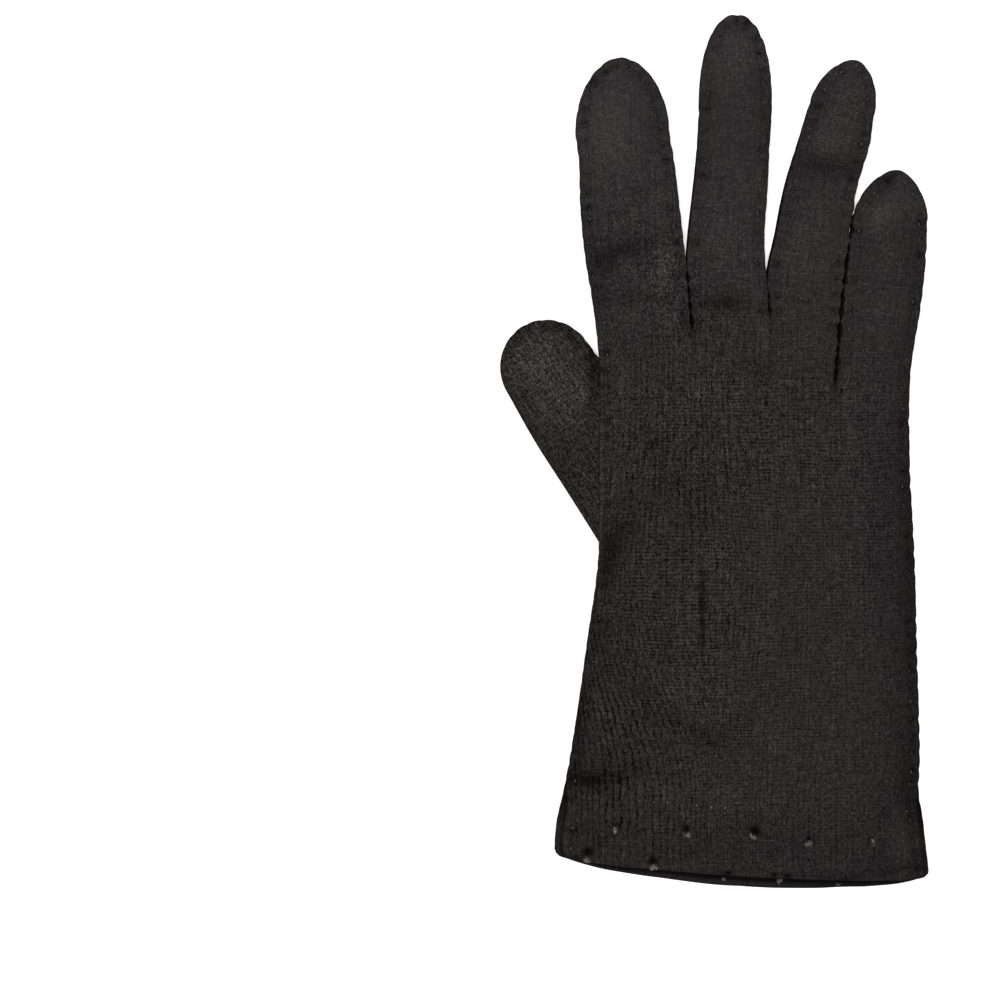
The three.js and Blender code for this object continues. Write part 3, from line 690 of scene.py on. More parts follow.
def rim_between(upper, lower, loop, out, bulge, groove=0.0, turns=(35, 65, 90, 115, 145)):
    """Rounded edge between two sheets along a loop: its points, ring by ring, and its quads."""
    points, rings = [], [loop]
    for i, degrees in enumerate(turns):
        angle = math.radians(degrees)
        ring = mix(upper[loop], lower[loop], (1 - math.cos(angle)) / 2)
        ring[:, :2] += out * (bulge * math.sin(angle) - groove * (degrees == 90))[:, None]
        points.append(ring)
        rings.append(2 * len(upper) + i * len(loop) + np.arange(len(loop)))
    rings.append(loop + len(upper))
    quads = [np.stack([a, np.roll(a, -1), np.roll(b, -1), b], 1) for a, b in zip(rings, rings[1:])]
    return points, np.concatenate(quads)


def wall_quads(edges, upper, lower):
    """Quads from edges, as pairs of points, to their copies on another sheet."""
    return edges[:, [1, 0, 0, 1]] + [upper, upper, lower, lower]


# Pieces
def make_object(name, points, faces, places=None, looks=None):
    """New object from points in millimetres; looks holds what its material reads at each point."""
    mesh = bpy.data.meshes.new(name)
    mesh.from_pydata((np.asarray(points) * MM).tolist(), [], [tuple(face) for face in faces])
    mesh.validate()
    mesh.polygons.foreach_set("use_smooth", [True] * len(mesh.polygons))
    if places is not None:
        corners = np.empty(len(mesh.loops), int)
        mesh.loops.foreach_get("vertex_index", corners)
        layer = mesh.uv_layers.new(name="cloth")
        layer.data.foreach_set("uv", (places[corners] / UV_UNIT).ravel())
    for key, values in (looks or {}).items():
        kind, slot = ("FLOAT_VECTOR", "vector") if np.ndim(values) == 2 else ("FLOAT", "value")
        attribute = mesh.attributes.new(key, kind, "POINT")
        attribute.data.foreach_set(slot, np.ravel(values))
    mesh.update()
    piece = bpy.data.objects.new(name, mesh)
    bpy.context.scene.collection.objects.link(piece)
    return piece


def stand_for(piece, node):
    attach(piece, "root")
    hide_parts(node)
    return piece


def make_cloth(name, node, points, faces, places, looks):
    """Piece of cloth in place of a node, without the points that none of its faces uses."""
    faces = np.concatenate(faces)
    used = np.zeros(len(points), bool)
    used[faces.ravel()] = True
    faces = (np.cumsum(used) - 1)[faces]
    looks = {key: values[used] for key, values in looks.items()}
    return stand_for(make_object(name, points[used], faces, places[used], looks), node)


# Painted light and shade on the cloth, with some tone that differs from place to place: painted
# shade in creases, folds and tucks, beside the slits and along the right edge, painted shadows
# beside raised parts, and painted light where the cloth faces the light, as on the fingertips and
# in a thin painted highlight along the palm's edge beside the thumb: middle, direction, length,
# width and change of tone
LIGHT_SHADE_AND_TONES = [
    (-24.3, 81, 90, 60, 30, 0.2), (-29.2, 88, 90, 26, 14, 0.4), (-22.4, 54.3, 18, 22, 6, -0.5),
    (-14.9, 47.5, 60, 9, 7, 0.35), (-21.6, 41, -3, 18, 4, -0.38), (5, 85, 90, 80, 24, 0.1),
    (5.4, 107, 90, 30, 14, 0.35), (0.8, 61, 90, 20, 12, 0.15), (1.9, 39.7, 0, 15, 5, -0.58),
    (10.8, 21.9, 0, 14, 6, -0.22), (36.5, 98.8, 70, 20, 14, 0.25), (32.4, 84, 30, 10, 7, 0.5),
    (28.9, 76.4, -8, 22, 5, -0.45), (25.7, 57, 80, 24, 10, 0.22), (51.3, 71.8, 60, 12, 8, 0.25),
    (44.6, 63.7, 40, 11, 8, 0.48), (45, 40, 85, 30, 10, 0.12), (-31.7, -12, 90, 54, 1.8, 0.8),
    (-17.5, -52, 85, 26, 12, -0.2), (-19.5, -78, 80, 20, 14, -0.16), (-18.5, 1.5, 90, 18, 9, -0.2),
    (-9, -17.5, 0, 18, 12, -0.16), (-30.5, -30, 85, 26, 6, -0.2), (-30.5, 51, 0, 12, 12, -0.2),
    (-29.5, 56, 90, 18, 7, -0.12), (-15, 56, 80, 24, 6, 0.12), (9.5, 55, 90, 34, 6, 0.1),
    (-8.5, -30, 0, 9, 18, -0.06), (34.5, 52, 84, 34, 5, 0.2), (-25, 72, 0, 22, 14, -0.05),
    (42, -12, 90, 50, 6, -0.12), (-12, -33, 90, 24, 5, -0.06), (-22.5, -34, 90, 18, 6, 0.1),
    (-24.5, -81, 90, 14, 6, -0.08), (-37.5, -74, 90, 10, 3, -0.12), (5, 95.5, 0, 12, 14, -0.14),
    (-37, -76, 80, 20, 5, -0.2), (-40.6, -103, 85, 24, 5, 0.3), (49.5, -106, 97, 20, 6, 0.34),
    (51.5, -90, 90, 18, 9, -0.15), (45.5, -38, 90, 95, 8, -0.13), (-38.3, 87.5, 90, 13, 4.5, 0.72),
    (-37.6, 76.5, 90, 9, 4, -0.34), (42, -113.2, 7, 42, 3.5, -0.32), (-12.5, -9, 0, 10, 8, -0.14),
    (-3.5, -77, 0, 12, 8, -0.14), (-24.8, 103.5, 0, 13, 4, 0.22), (53, 66, 90, 10, 4, 0.3),
    (-12.5, 49, 90, 10, 5, 0.14), (28.5, 36, 90, 20, 8, 0.08), (41, -34, 90, 16, 6, -0.08),
    (-3.4, 85, 90, 16, 3, -0.24), (13.9, 83, 90, 24, 3.4, -0.24), (-11.4, 90, 90, 30, 5, 0.12),
    (-32.6, -31, 90, 17, 4, -0.16), (-30, -46, 90, 16, 6, -0.12), (0.5, -19, 0, 11, 8, -0.14),
    (-12, 0.5, 0, 11, 8, -0.18), (-31, -98, 0, 13, 13, -0.12), (-1.5, -86.5, 0, 18, 8, -0.13),
    (-6, -96, 0, 8, 8, 0.12), (40, -91, 90, 20, 8, -0.1), (27, 50, 85, 26, 9, 0.06),
    (52, -95, 95, 26, 4, -0.1), (-1, -101.5, 0, 16, 5, 0.08), (-33, 45, 88, 40, 3, -0.12),
    (-25, -70, 90, 60, 26, -0.06), (-10, -13, 0, 30, 24, -0.07), (30, -60, 90, 120, 34, -0.05),
    (47, -100, 90, 30, 12, -0.1), (-8.7, 36.8, 90, 6, 1.4, -0.5), (-4.9, 32.4, 0, 3.4, 1, -0.55),
    (1.5, 26.3, 0, 2.6, 0.9, -0.55), (-6.8, 31.2, 86, 4, 1, -0.6),
    (14.7, 33.6, 88, 4.5, 0.9, -0.45), (31.6, 13.8, 0, 2.6, 1, -0.55), (32, 16.6, 88, 3, 0.9, -0.6),
    (8.1, 115.2, 60, 4.5, 2, -0.7), (-33.4, 99.3, 50, 4, 2, -0.6), (-28, 103, 30, 4, 1.8, -0.5),
    (47.4, 73.8, 30, 4, 2, -0.5), (-26.6, -24.4, 62, 23, 9, -0.44), (-4, -28.1, 90, 5, 3, 0.35),
    (-4.25, -42, 90, 26, 1.7, -0.75), (-0.8, -49.5, 90, 12, 1.2, -0.35),
    (1.9, -48, 92, 14, 1.2, -0.45), (-27, -53.7, 83, 60, 16, -0.16), (12.7, -29.4, 90, 36, 5, 0.14),
    (-6, -10, 0, 22, 8, -0.12), (-14.9, -60.5, -50, 20, 6, 0.2), (-2.7, -71.3, 30, 16, 8, 0.16),
    (-7.3, -74.5, -26, 32, 8, -0.3), (8.9, -68.6, 75, 10, 3, -0.22),
    (52.5, -45, 90, 170, 11, -0.42), (-38, -70, 83, 70, 12, -0.22), (5, -106, -3, 110, 15, -0.16),
    (-31, -87.5, 8, 24, 8, -0.4), (-35.6, -88.6, 0, 14, 4, -0.35), (52, -105, 90, 12, 8, 0.18),
]


# Painted light and shade on the thumb: lighter where it faces the light, painted shade along its
# top and a painted shadow beside the palm's edge; the same columns as above
THUMB_LIGHT_AND_SHADE = [
    (-45.9, 21.5, -57, 32, 16, 0.42), (-47, 20.5, 90, 7, 4, 0.4), (-40, -3, -57, 22, 22, -0.18),
    (-33.2, 20, 90, 30, 3, -0.58), (-38, 21, 90, 20, 7, 0.1), (-39, -7.5, -57, 10, 8, -0.15),
    (-37, 35, -40, 16, 3, -0.5),
]


# Where the knit shows more or less: middle, direction, length and width, then the change of its
# grain, of its columns and rows, and of its warmth
KNIT_SHOWS = [
    (-14, -42, 90, 120, 46, 0.29, 0.6, 0.36, 0.5), (-14.5, -45, 90, 46, 26, 0, -0.26, 0.55, 0.15),
    (-29, -72, 78, 56, 24, 0.05, 0.62, -0.14, 0), (-26, -84, 76, 36, 20, 0, 0.26, -0.06, 0),
    (-30, -98, 0, 34, 24, 0, 0, 0, 0.45), (18, -32, 90, 130, 52, 0.03, 0.16, 0.46, 0.5),
    (2, 8, 0, 76, 36, 0.38, 0.14, 0.14, 0.45), (-22, 50, 90, 40, 22, 0.15, 0, 0, 0.1),
    (41, -8, 90, 70, 18, 0.08, 0, 0.3, -0.36), (54, -40, 90, 130, 8, 0, 0, 0, 0.3),
    (-37, -55, 82, 70, 8, 0, 0, 0, 0.32), (14, -90, 0, 86, 30, 0, 0, 0, 0.3),
    (0, 2, 0, 60, 26, 0, 0, 0, -0.15), (-12, 43, 95, 34, 12, 0.42, 0, 0, 0),
    (-1, 36, 0, 16, 12, 0.25, 0, 0, 0), (6, -102, -3, 110, 22, 0, 0.35, 0.05, 0),
    (-24, 92, 90, 46, 30, -0.25, 0, -0.1, 0), (4, 95, 90, 70, 26, -0.25, 0, -0.1, 0),
    (38, 62, 80, 110, 34, -0.2, 0, 0, 0.1),
]
KNIT_BASE = {"grain": 0.8, "columns": 0.05, "rows": 0.1, "warmth": 0.1}
THUMB_LOOKS = {"grain": 1.27, "columns": 0.4, "rows": 0.2, "warmth": 0.6}
BULGE = {"x": -7.3, "y": -33.5, "wide": 20.0, "high": 25.0, "spread": 0.38}
LEAN = {"top": -40, "bottom": -92, "shift": 12.0}


def lattice_at(points):
    """Plan of the knit's columns and rows, which bend round the palm's swelling and below it."""
    x, y = points.T
    dx, dy = x - BULGE["x"], y - BULGE["y"]
    spread = BULGE["spread"] * np.exp(-((dx / BULGE["wide"]) ** 2) - (dy / BULGE["high"]) ** 2)
    slope = step(-y, -LEAN["top"], -LEAN["bottom"])
    lean = slope * mix(0.5, 1, step(x, -35, -8)) * (1 - step(x, -8, 16))
    return np.column_stack([x - dx * spread - LEAN["shift"] * lean, y - 0.3 * dy * spread, 0 * x])


def knit_looks(points):
    """What the knit's material reads at points of the plan."""
    looks = {"tone": 1 + soft_forms(points, LIGHT_SHADE_AND_TONES), "lattice": lattice_at(points)}
    for i, (key, base) in enumerate(KNIT_BASE.items(), 5):
        table = [(*row[:5], row[i]) for row in KNIT_SHOWS]
        looks[key] = np.maximum(base + soft_forms(points, table, 3), 0)
    return looks


def spread_looks(looks, loop, rings):
    """Looks of one sheet, passed on to the other sheet and to the rings of the rim between them."""
    # The rims of the cloth get painted shade
    shares = {"tone": RIM_SHADE, "lattice": 1}
    return {
        key: np.concatenate([values, values] + [values[loop] * shares.get(key, RIM_LOOKS)] * rings)
        for key, values in looks.items()
    }


def cuff_sides(points):
    return 1 - step(points[:, 1], *CUFF_SIDES)


def draw_in_cuff(points):
    """Draws the back's side edges in at the cuff, where the palm's stand out beside them."""
    near_cuff = cuff_sides(points)
    for border, inward, reach in ((hand_left, 1, 2.05), (hand_right, -1, 1.5)):
        gap = np.abs(points[:, 0] - border(points[:, 1]))
        points[:, 0] += inward * reach * near_cuff * (1 - step(gap, 0, 14))


def lip_shade(cloth, points):
    """Share of light that reaches the palm's inner face, which is dark under the back's edges."""
    shown = np.maximum(cloth.hem - hem_distance(points, CUFF_SAG["back"]) - LIP_HIDDEN, 0.3)
    under = step(cloth.hem / shown, 0.43, 0.8) * step(cloth.distance, 1.2, 2.0)
    right = 1 - 0.34 * step(points[:, 0], 12, 34)
    return right * mix(1 - 0.72 * under * cuff_sides(points), INSIDE_PAINTED_SHADE, step(cloth.hem, 8, 16))


def slit_opening(points):
    """How far the back's edge stands back from the middle of a slit at points of its outline."""
    total = np.zeros(len(points))
    for (x, y, top_x, top_y), opens in zip(FORKS, SLIT_OPENS):
        share = (points[:, 1] - y) / (top_y - y)
        near = np.abs(points[:, 0] - mix(x, top_x, share)) < 1.5
        total += opens * near * step(points[:, 1] - y, 0.2, 3.6) * (1 - step(share, 0.9, 1.02))
    return total


def round_corners(moved, points, loop):
    """Draws the two corners of the cuff in, so that they are as round as soft cloth leaves them."""
    for side in (-1, 1):
        corner = points[loop[np.argmax(points[loop] @ (side, -1.0))]]
        near = bell(np.linalg.norm(points - corner, axis=1), CORNER_REACH)
        moved += CORNER_DRAW * near[:, None] * np.array([-side, 1.0])


def panel(name, side, sag, node):
    """One panel as a closed sheet of cloth; returns its piece and what its stitches need."""
    points, places, grids, outlines, cuff = panel_plan(sag)
    if side > 0:
        draw_in_cuff(points)
    else:
        snap_to_hole(points)
    cloth = Cloth(points, outlines, side, sag)
    count = len(points)
    loop = np.concatenate([outlines[0], *(outline[1:] for outline in outlines[1:]), cuff])
    out = outward(points, loop)
    bulge = np.full(len(loop), SEAM_BULGE)
    bulge[-len(cuff):] = HEM_BULGE

    # The cloth's edge is drawn in at the stitches, and by as much as its rounded rim stands out
    near = np.flatnonzero((cloth.distance < EDGE_REACH) | (cloth.hem < EDGE_REACH))
    found = nearest_in(plan_tree(points[loop]), points[near])
    gap = np.linalg.norm(points[near] - points[loop][found], axis=1)
    reach = bulge
    if side > 0:
        pulled = cloth.pull[loop] * bell(cloth.offset[loop], 0.8)
        uneven = 0.9 + 0.9 * pulled + 0.7 * fine_waves(points[loop] * 3)
        reach = bulge + slit_opening(points[loop]) * uneven
    draw = cloth.notch()[near] + reach[found] * np.clip(1 - gap / RIM_REACH, 0, 1)
    moved = points.copy()
    moved[near] -= out[found] * draw[:, None]
    round_corners(moved, points, loop)

    plain, heights = cloth.heights(points)
    quads = np.concatenate([grid_quads(grid) for grid in grids])
    outer = np.column_stack([moved, heights])
    backing = np.column_stack([moved, plain])
    flat = step(cloth.distance, SEAM, 4.8)
    hem = 1 - step(cloth.hem, HEM_DEPTH - 0.5, HEM_DEPTH + 0.5)
    wall = mix(SEAM_WALL, WALL, flat) + HEM_EXTRA * flat * hem
    pinch = 1 - step(cloth.distance, 0.5, 3.0)
    direction = mix(vertex_normals(backing, quads), np.array([0, 0, 1.0]), pinch[:, None])
    sheets = [outer, backing - side * direction * wall[:, None]][::side]  # the upper one first
    rim, rim_quads = rim_between(*sheets, loop, out, bulge)
    faces = []
    if side < 0:
        quads, hole = cut_hole(quads, points)
        faces.append(wall_quads(hole, 0, count))
    faces += [quads, quads[:, ::-1] + count, rim_quads]

    looks = knit_looks(points)
    # Painted shade along the seams' edges, and darker over the hem near the cuff's edge
    tone = (looks["tone"] if side > 0 else 1) * (1 - 0.1 * bell(cloth.distance, 1.3))
    tone = tone * (1 - 0.12 * (1 - step(cloth.hem, 14, 24)))
    shown = np.clip(cloth.pull, 0, 1) * (1 - 0.2 * np.minimum(cloth.part, 1))
    face_tone = tone * mix(1, stitch_shade(cloth.distance, cloth.offset), shown)
    if side > 0:
        # Painted shade in the hollows
        shades = (1 - 0.95 * np.exp(-away**4) for _, away in hollows(points))
        face_tone = face_tone * math.prod(shades)
    else:
        # The palm's inner face gets painted shade only
        tone = LIP_PAINTED_SHADE * lip_shade(cloth, points)
    looks = spread_looks(looks | {"tone": tone}, loop, len(rim))
    looks["tone"][: 2 * count] = np.concatenate([face_tone, tone][::side])
    if side < 0:
        looks["grain"][:count] *= mix(RIM_LOOKS, 1, step(cloth.hem, 4, 8))
    places = np.concatenate([places, places] + [places[loop]] * len(rim))
    piece = make_cloth(name, node, np.concatenate([*sheets, *rim]), faces, places, looks)
    return piece, cloth, outer


back, back_cloth, back_surface = panel("back_cloth", 1, CUFF_SAG["back"], "back_panel")
palm, palm_cloth, palm_surface = panel("palm_cloth", -1, CUFF_SAG["palm"], "palm_panel")


def thumb():
    """The thumb as a closed hollow sheet of cloth; returns its piece and what its stitches need."""
    points = thumb_points.reshape(-1, 2).copy()
    places = thumb_places.reshape(-1, 2)
    count = len(points)
    grid = np.arange(count).reshape(thumb_points.shape[:2])
    snap_to_hole(points)
    distance, _, along, _ = thumb_seams.nearest(points)
    beside = np.minimum(np.searchsorted(thumb_seams.length, along), len(thumb_seams.points) - 1)
    seam = step((thumb_seams.points[beside] - thumb_centre) @ thumb_across, *SEAM_STARTS)
    stitch_lengths = stitch_places(thumb_seams.totals[0])
    offset = offset_to(stitch_lengths, along)[0]
    forms = stitch_forms(distance, offset) * seam
    fold_rise = np.sqrt(1 - (1 - np.clip(distance / THUMB_FOLD, 0, 1)) ** 2)
    rise = mix(fold_rise, round_off(distance - SEAM, 5.0), seam)
    edge = mix(0.35, THUMB_SEAM / 2, seam)
    wave = 0.12 * broad_waves(points * 1.3) + 0.04 * fine_waves(points)
    gap = THUMB_GAP - np.minimum(wave * step(distance, 1.5, 7), 0.1)
    top = mix(THUMB_MIDDLE + edge, THUMB_HEIGHT - gap, rise) - forms
    bottom = np.maximum(mix(THUMB_MIDDLE - edge, gap, rise) + forms, 0.0)

    loop = ring_of(grid)
    out = outward(points, loop)
    bulge = mix(0.3, SEAM_BULGE, seam[loop])
    draw = 0.18 * bell(offset, 0.9) * np.clip(1 - distance / EDGE_REACH, 0, 1) * seam
    found = nearest_in(plan_tree(points[loop]), points)
    draw = draw + bulge[found] * np.clip(1 - distance / RIM_REACH, 0, 1)
    moved = points - out[found] * draw[:, None]
    sheets = [np.column_stack([moved, z]) for z in (top, bottom)]
    groove = 0.3 * seam[loop]
    rim, rim_quads = rim_between(*sheets, loop, out, bulge, groove, (25, 45, 70, 90, 110, 135, 155))

    # The hollow follows both sheets a wall inside them, and is open to the palm. Rows run down the
    # thumb, so the quads of its grid face down as they are numbered.
    middle = (top + bottom) / 2
    half = np.maximum((top - bottom) / 2 - WALL, 0.06)
    hollow = [np.column_stack([moved, z]) for z in (middle + half, middle - half)]
    base = 2 * count + len(rim) * len(loop)
    quads, hollow_quads = grid_quads(grid), grid_quads(grid[4:-4, 4:-4])
    quads_up, hole = cut_hole(quads[:, ::-1], points)
    side = ring_of(grid[4:-4, 4:-4])
    side = np.column_stack([side, np.roll(side, -1)])
    faces = [
        quads_up,
        quads + count,
        rim_quads,
        cut_hole(hollow_quads[:, ::-1], points)[0][:, ::-1] + base,
        hollow_quads[:, ::-1] + base + count,
        wall_quads(side, base, base + count),
        wall_quads(hole, 0, base),
    ]
    # Painted light and shade from the thumb's table, and painted shade along its edge
    tone = (1 + soft_forms(points, THUMB_LIGHT_AND_SHADE)) * (1 - 0.3 * bell(distance, 1.8))
    shade = mix(1, stitch_shade(distance, offset), seam)
    looks = {"tone": tone, "lattice": np.column_stack([places, np.zeros(count)])}
    looks |= {key: np.full(count, share) for key, share in THUMB_LOOKS.items()}
    looks = spread_looks(looks, loop, len(rim))
    looks["tone"][: 2 * count] = np.concatenate([tone * shade, shade])
    looks = {key: np.concatenate([values, values[: 2 * count]]) for key, values in looks.items()}
    under = places * [-1, 1] + [40, 0]
    places = np.concatenate([places, under] + [places[loop]] * len(rim) + [places, places])
    made = np.concatenate([*sheets, *rim, *hollow])
    return make_cloth("thumb_cloth", "thumb", made, faces, places, looks), *sheets, stitch_lengths


thumb_piece, thumb_upper, thumb_lower, thumb_stitches = thumb()


# Fourchettes between the fingers
def resample(points, values):
    length = lengths_along(points)
    at = np.linspace(0, length[-1], max(3, round(length[-1] / ROW_PITCH)))
    rows = [np.interp(at, length, column) for column in (*points.T, values)]
    return np.column_stack(rows[:2]), rows[2]


def fourchette_section(palm_edge, back_edge):
    """Section of the folded strip as (depth, z): two edges with a slot between them, and a fold."""
    bottom = palm_edge + WALL + FOURCHETTE_GAP
    top = back_edge - WALL - FOURCHETTE_GAP
    height = top - bottom
    opened = float(step(height, WALL, 2.5 * WALL))
    cloth = mix(height / 3, WALL * 0.95, opened)
    deep = mix(1.6, FOURCHETTE_DEPTH, opened)

    def fold(depth, radius, most, turns):
        short, middle = min(radius, most), (top + bottom) / 2
        return [(depth - short + short * math.cos(a), middle + radius * math.sin(a)) for a in turns]

    def edge(start):
        return [(depth, start + share * cloth) for depth, share in FOURCHETTE_EDGE]

    turns = np.radians(np.linspace(90, -90, 9))
    outer = fold(deep, height / 2, 1.8, turns)
    inner = fold(deep - cloth, max(height / 2 - cloth, 0.02), 1.0, turns[::-1])
    return np.array([*outer, *edge(bottom), *inner, *edge(top - cloth)])


def fourchette(k, name):
    """Strip between two fingers, down the one, round the bottom of the slit and up the other."""
    sides = []
    for finger, edges, tops in ((k, right_edges, right_tops), (k + 1, left_edges, left_tops)):
        y = np.linspace(FORKS[k][1], tops[finger], 90)
        part = taper(tops[finger], y)
        keep = part >= FOURCHETTE_POINT
        xy = np.column_stack([edges[finger](y), y])
        sides.append(resample(xy[keep], part[keep]))

    def climb(line, parts, side):
        """Place, parting, direction into the finger and step for each station up an edge."""
        made = []
        for i in range(1, len(line)):
            edge = line[min(len(line) - 1, i + 1)] - line[i - 1]
            edge = edge / np.linalg.norm(edge)
            made.append((line[i], parts[i], np.array([-edge[1], edge[0]]) * side, ROW_PITCH))
        return made

    (down, down_part), (up, up_part) = sides
    turns = np.radians(np.linspace(180, 360, 13))
    bend = [(down[0], down_part[0], np.array([math.cos(a), math.sin(a)]), 0.5) for a in turns]
    stations = climb(down, down_part, 1)[::-1] + bend + climb(up, up_part, -1)
    sections, places, travelled = [], [], 0
    for point, part, inward, pace in stations:
        section = fourchette_section(*seam_heights(part, lift_at(point[None])[0]))
        section = np.column_stack([point + section[:, :1] * inward, section[:, 1]])
        sections.append(section)
        places.append(np.column_stack([lengths_along(section), np.full(len(section), travelled)]))
        travelled += pace
    points = np.concatenate(sections)
    grid = np.arange(len(points)).reshape(len(sections), -1)
    quads = grid_quads(np.column_stack([grid, grid[:, 0]]))[:, [1, 0, 3, 2]]
    faces = [*quads, grid[0], grid[-1][::-1]]
    looks = {key: np.full(len(points), share) for key, share in GUSSET_LOOKS.items()}
    piece = make_object(name, points, faces, np.concatenate(places), looks)
    return stand_for(piece, name.replace("gusset", "fourchette"))


slits = ("index_middle", "middle_ring", "ring_little")
gussets = [fourchette(k, "gusset_" + slit) for k, slit in enumerate(slits)]


# Threads
class Threads:
    """Collects short closed pieces of thread as one mesh."""

    def __init__(self):
        self.points, self.faces, self.tones = [], [], []

    def add(self, path, radii, tone):
        path = np.asarray(path, float)
        ahead = np.gradient(path, axis=0)
        ahead /= np.maximum(np.linalg.norm(ahead, axis=1, keepdims=True), 1e-9)
        side = np.cross(ahead[0], [0, 0, 1])
        start = len(self.points)
        for point, direction, radius in zip(path, ahead, radii):
            side = side - direction * (side @ direction)
            side /= np.linalg.norm(side)
            other = np.cross(direction, side)
            for turn in np.arange(THREAD_SIDES) * 2 * math.pi / THREAD_SIDES:
                across = math.cos(turn) * side + math.sin(turn) * other
                self.points.append(point + radius * across)
        low, high = len(self.points), len(self.points) + 1
        self.points.append(path[0] - ahead[0] * radii[0] * 0.6)
        self.points.append(path[-1] + ahead[-1] * radii[-1] * 0.6)
        grid = np.arange(start, low).reshape(-1, THREAD_SIDES)
        grid = np.column_stack([grid, grid[:, 0]])
        self.faces += grid_quads(grid).tolist()
        for i in range(THREAD_SIDES):
            self.faces += [(grid[0, i + 1], grid[0, i], low), (grid[-1, i], grid[-1, i + 1], high)]
        self.tones += [tone] * (high + 1 - start)

    def make(self, name, slot):
        piece = make_object(name, self.points, self.faces, None, {"tone": self.tones})
        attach(piece, "root")
        return piece


class Surface:
    """Height of a cloth over a place of the plan, from the nearest points of its mesh."""

    def __init__(self, points):
        self.heights = points[:, 2]
        self.tree = plan_tree(points)

    def height(self, x, y):
        near = self.tree.find_n((x, y, 0), 4)
        weights = np.array([1 / (distance + 0.05) for _, _, distance in near])
        return float((self.heights[[i for _, i, _ in near]] * weights).sum() / weights.sum())


def seam_frame(line, length):
    """Point, direction and inward direction at a length along a clockwise seam line."""
    lengths = lengths_along(line)

    def at(where):
        return np.array([np.interp(where, lengths, column) for column in line.T])

    ahead = at(length + 0.6) - at(length - 0.6)
    ahead /= max(np.linalg.norm(ahead), 1e-9)
    return at(length), ahead, np.array([ahead[1], -ahead[0]])


def lay_stitch(threads, surface, facing, middle, run, shape, tone):
    """Short stitch on a cloth, which dips into it at both ends; run is half of its length."""
    corners, rise, dip, radius, thinner = shape
    path, radii = [], []
    for share in np.linspace(-1, 1, corners):
        x, y = middle + run * share
        path.append((x, y, surface.height(x, y) + facing * (rise - dip * share**4)))
        radii.append(radius * (1 - thinner * share**2))
    threads.add(path, radii, tone)


def prick(threads, surface, facing, point, ahead, inward):
    half = draws.uniform(0.28, 0.5)
    tilt = draws.uniform(-0.12, 0.12)
    run = half * np.array([ahead[0] - tilt * ahead[1], ahead[1] + tilt * ahead[0]])
    middle = point + inward * STITCH_INSET
    lay_stitch(threads, surface, facing, middle, run, PRICK, 0.2 + 1.5 * draws.uniform(0, 1) ** 3)


def sew_panel(cloth, surface_points, name, slot):
    threads, surface = Threads(), Surface(surface_points)
    for k, places in enumerate(cloth.stitches):
        line = cloth.seams.points[cloth.seams.line == k]
        for place in places:
            prick(threads, surface, cloth.side, *seam_frame(line, place + draws.uniform(-0.7, 0.7)))
    return threads.make(name, slot)


def sew_thumb():
    threads = Threads()
    surfaces = [(Surface(thumb_upper), 1), (Surface(thumb_lower), -1)]
    for place in thumb_stitches:
        point, ahead, inward = seam_frame(thumb_seams.points, place)
        if (point - thumb_centre) @ thumb_across < STITCHES_START:
            continue
        for surface, facing in surfaces:
            prick(threads, surface, facing, point, ahead, -inward)  # this outline is anticlockwise
    return threads.make("seam_stitches_thumb", "thumb")


def sew_hem():
    """Row of small stitches that holds the hem, seen on the back as dots."""
    threads = Threads()
    for surface_points, side, facing in ((back_surface, "back", 1), (palm_surface, "palm", -1)):
        surface = Surface(surface_points)
        x = HEM_ROW["start"]
        while x < HEM_ROW["end"]:
            edge = float(cuff_edge(cuff_share(x), CUFF_SAG[side]))
            middle = np.array([x, edge + HEM_DEPTH + draws.uniform(-0.25, 0.25)])
            half, turn = draws.uniform(0.16, 0.34), draws.uniform(0.9, 1.9)
            run = half * np.array([math.cos(turn), math.sin(turn)])
            seen = mix(1, 0.5, float(step(x, 4, 12))) * mix(0.35, 1, float(step(x, -22, -17)))
            tone = draws.uniform(0.3, 1.4) * seen
            lay_stitch(threads, surface, facing, middle, run, HEM_DOT, tone)
            x += HEM_ROW["pitch"] + draws.uniform(-0.2, 0.2)
    return threads.make("hem_stitches", "back_panel")


def tie_knot(threads, surface, x, y, turn, length, width, tone):
    """Small lump of thread: short curled strands that lie on each other, highest in its middle."""
    angle = math.radians(turn)
    ahead = np.array([math.cos(angle), math.sin(angle)])
    beside = np.array([-ahead[1], ahead[0]])
    for _ in range(round(3.2 * length * width)):
        away, around = math.sqrt(draws.uniform(0, 1)), draws.uniform(0, 2 * math.pi)
        reach_ahead = math.cos(around) * (length / 2 - 0.3) * ahead
        reach_beside = math.sin(around) * (width / 2 - 0.3) * beside
        middle = np.array([x, y]) + away * (reach_ahead + reach_beside)
        curl, size = draws.uniform(0.5, 1.5), draws.uniform(0.3, 0.55)
        facing = angle + draws.uniform(-0.9, 0.9)
        radius = draws.uniform(*KNOT_STRAND)
        path, radii = [], []
        for share in np.linspace(-1, 1, 8):
            bend = facing + curl * share
            px, py = middle + size * share * np.array([math.cos(bend), math.sin(bend)])
            over = max(0.0, float(cuff_edge(cuff_share(px), CUFF_SAG["back"])) + 0.4 - py)
            level = max(surface.height(px, py + over) - 1.7 * over, 2.6)
            path.append((px, py, level + 0.28 * width * (1 - away**2) - 0.25 * share**2))
            radii.append(radius * (1 - 0.35 * share**2))
        # Strands further from the knot's middle lie lower and get painted shade
        threads.add(path, radii, tone * (1.15 - 0.6 * away) * draws.uniform(0.5, 1.5))


def sew_knots():
    threads, surface = Threads(), Surface(back_surface)
    for knot in KNOTS:
        tie_knot(threads, surface, *knot)
    return threads.make("cuff_knots", "back_panel")


stitches = [
    sew_panel(back_cloth, back_surface, "seam_stitches_back", "back_panel"),
    sew_panel(palm_cloth, palm_surface, "seam_stitches_palm", "palm_panel"),
    sew_thumb(),
    sew_hem(),
    sew_knots(),
]


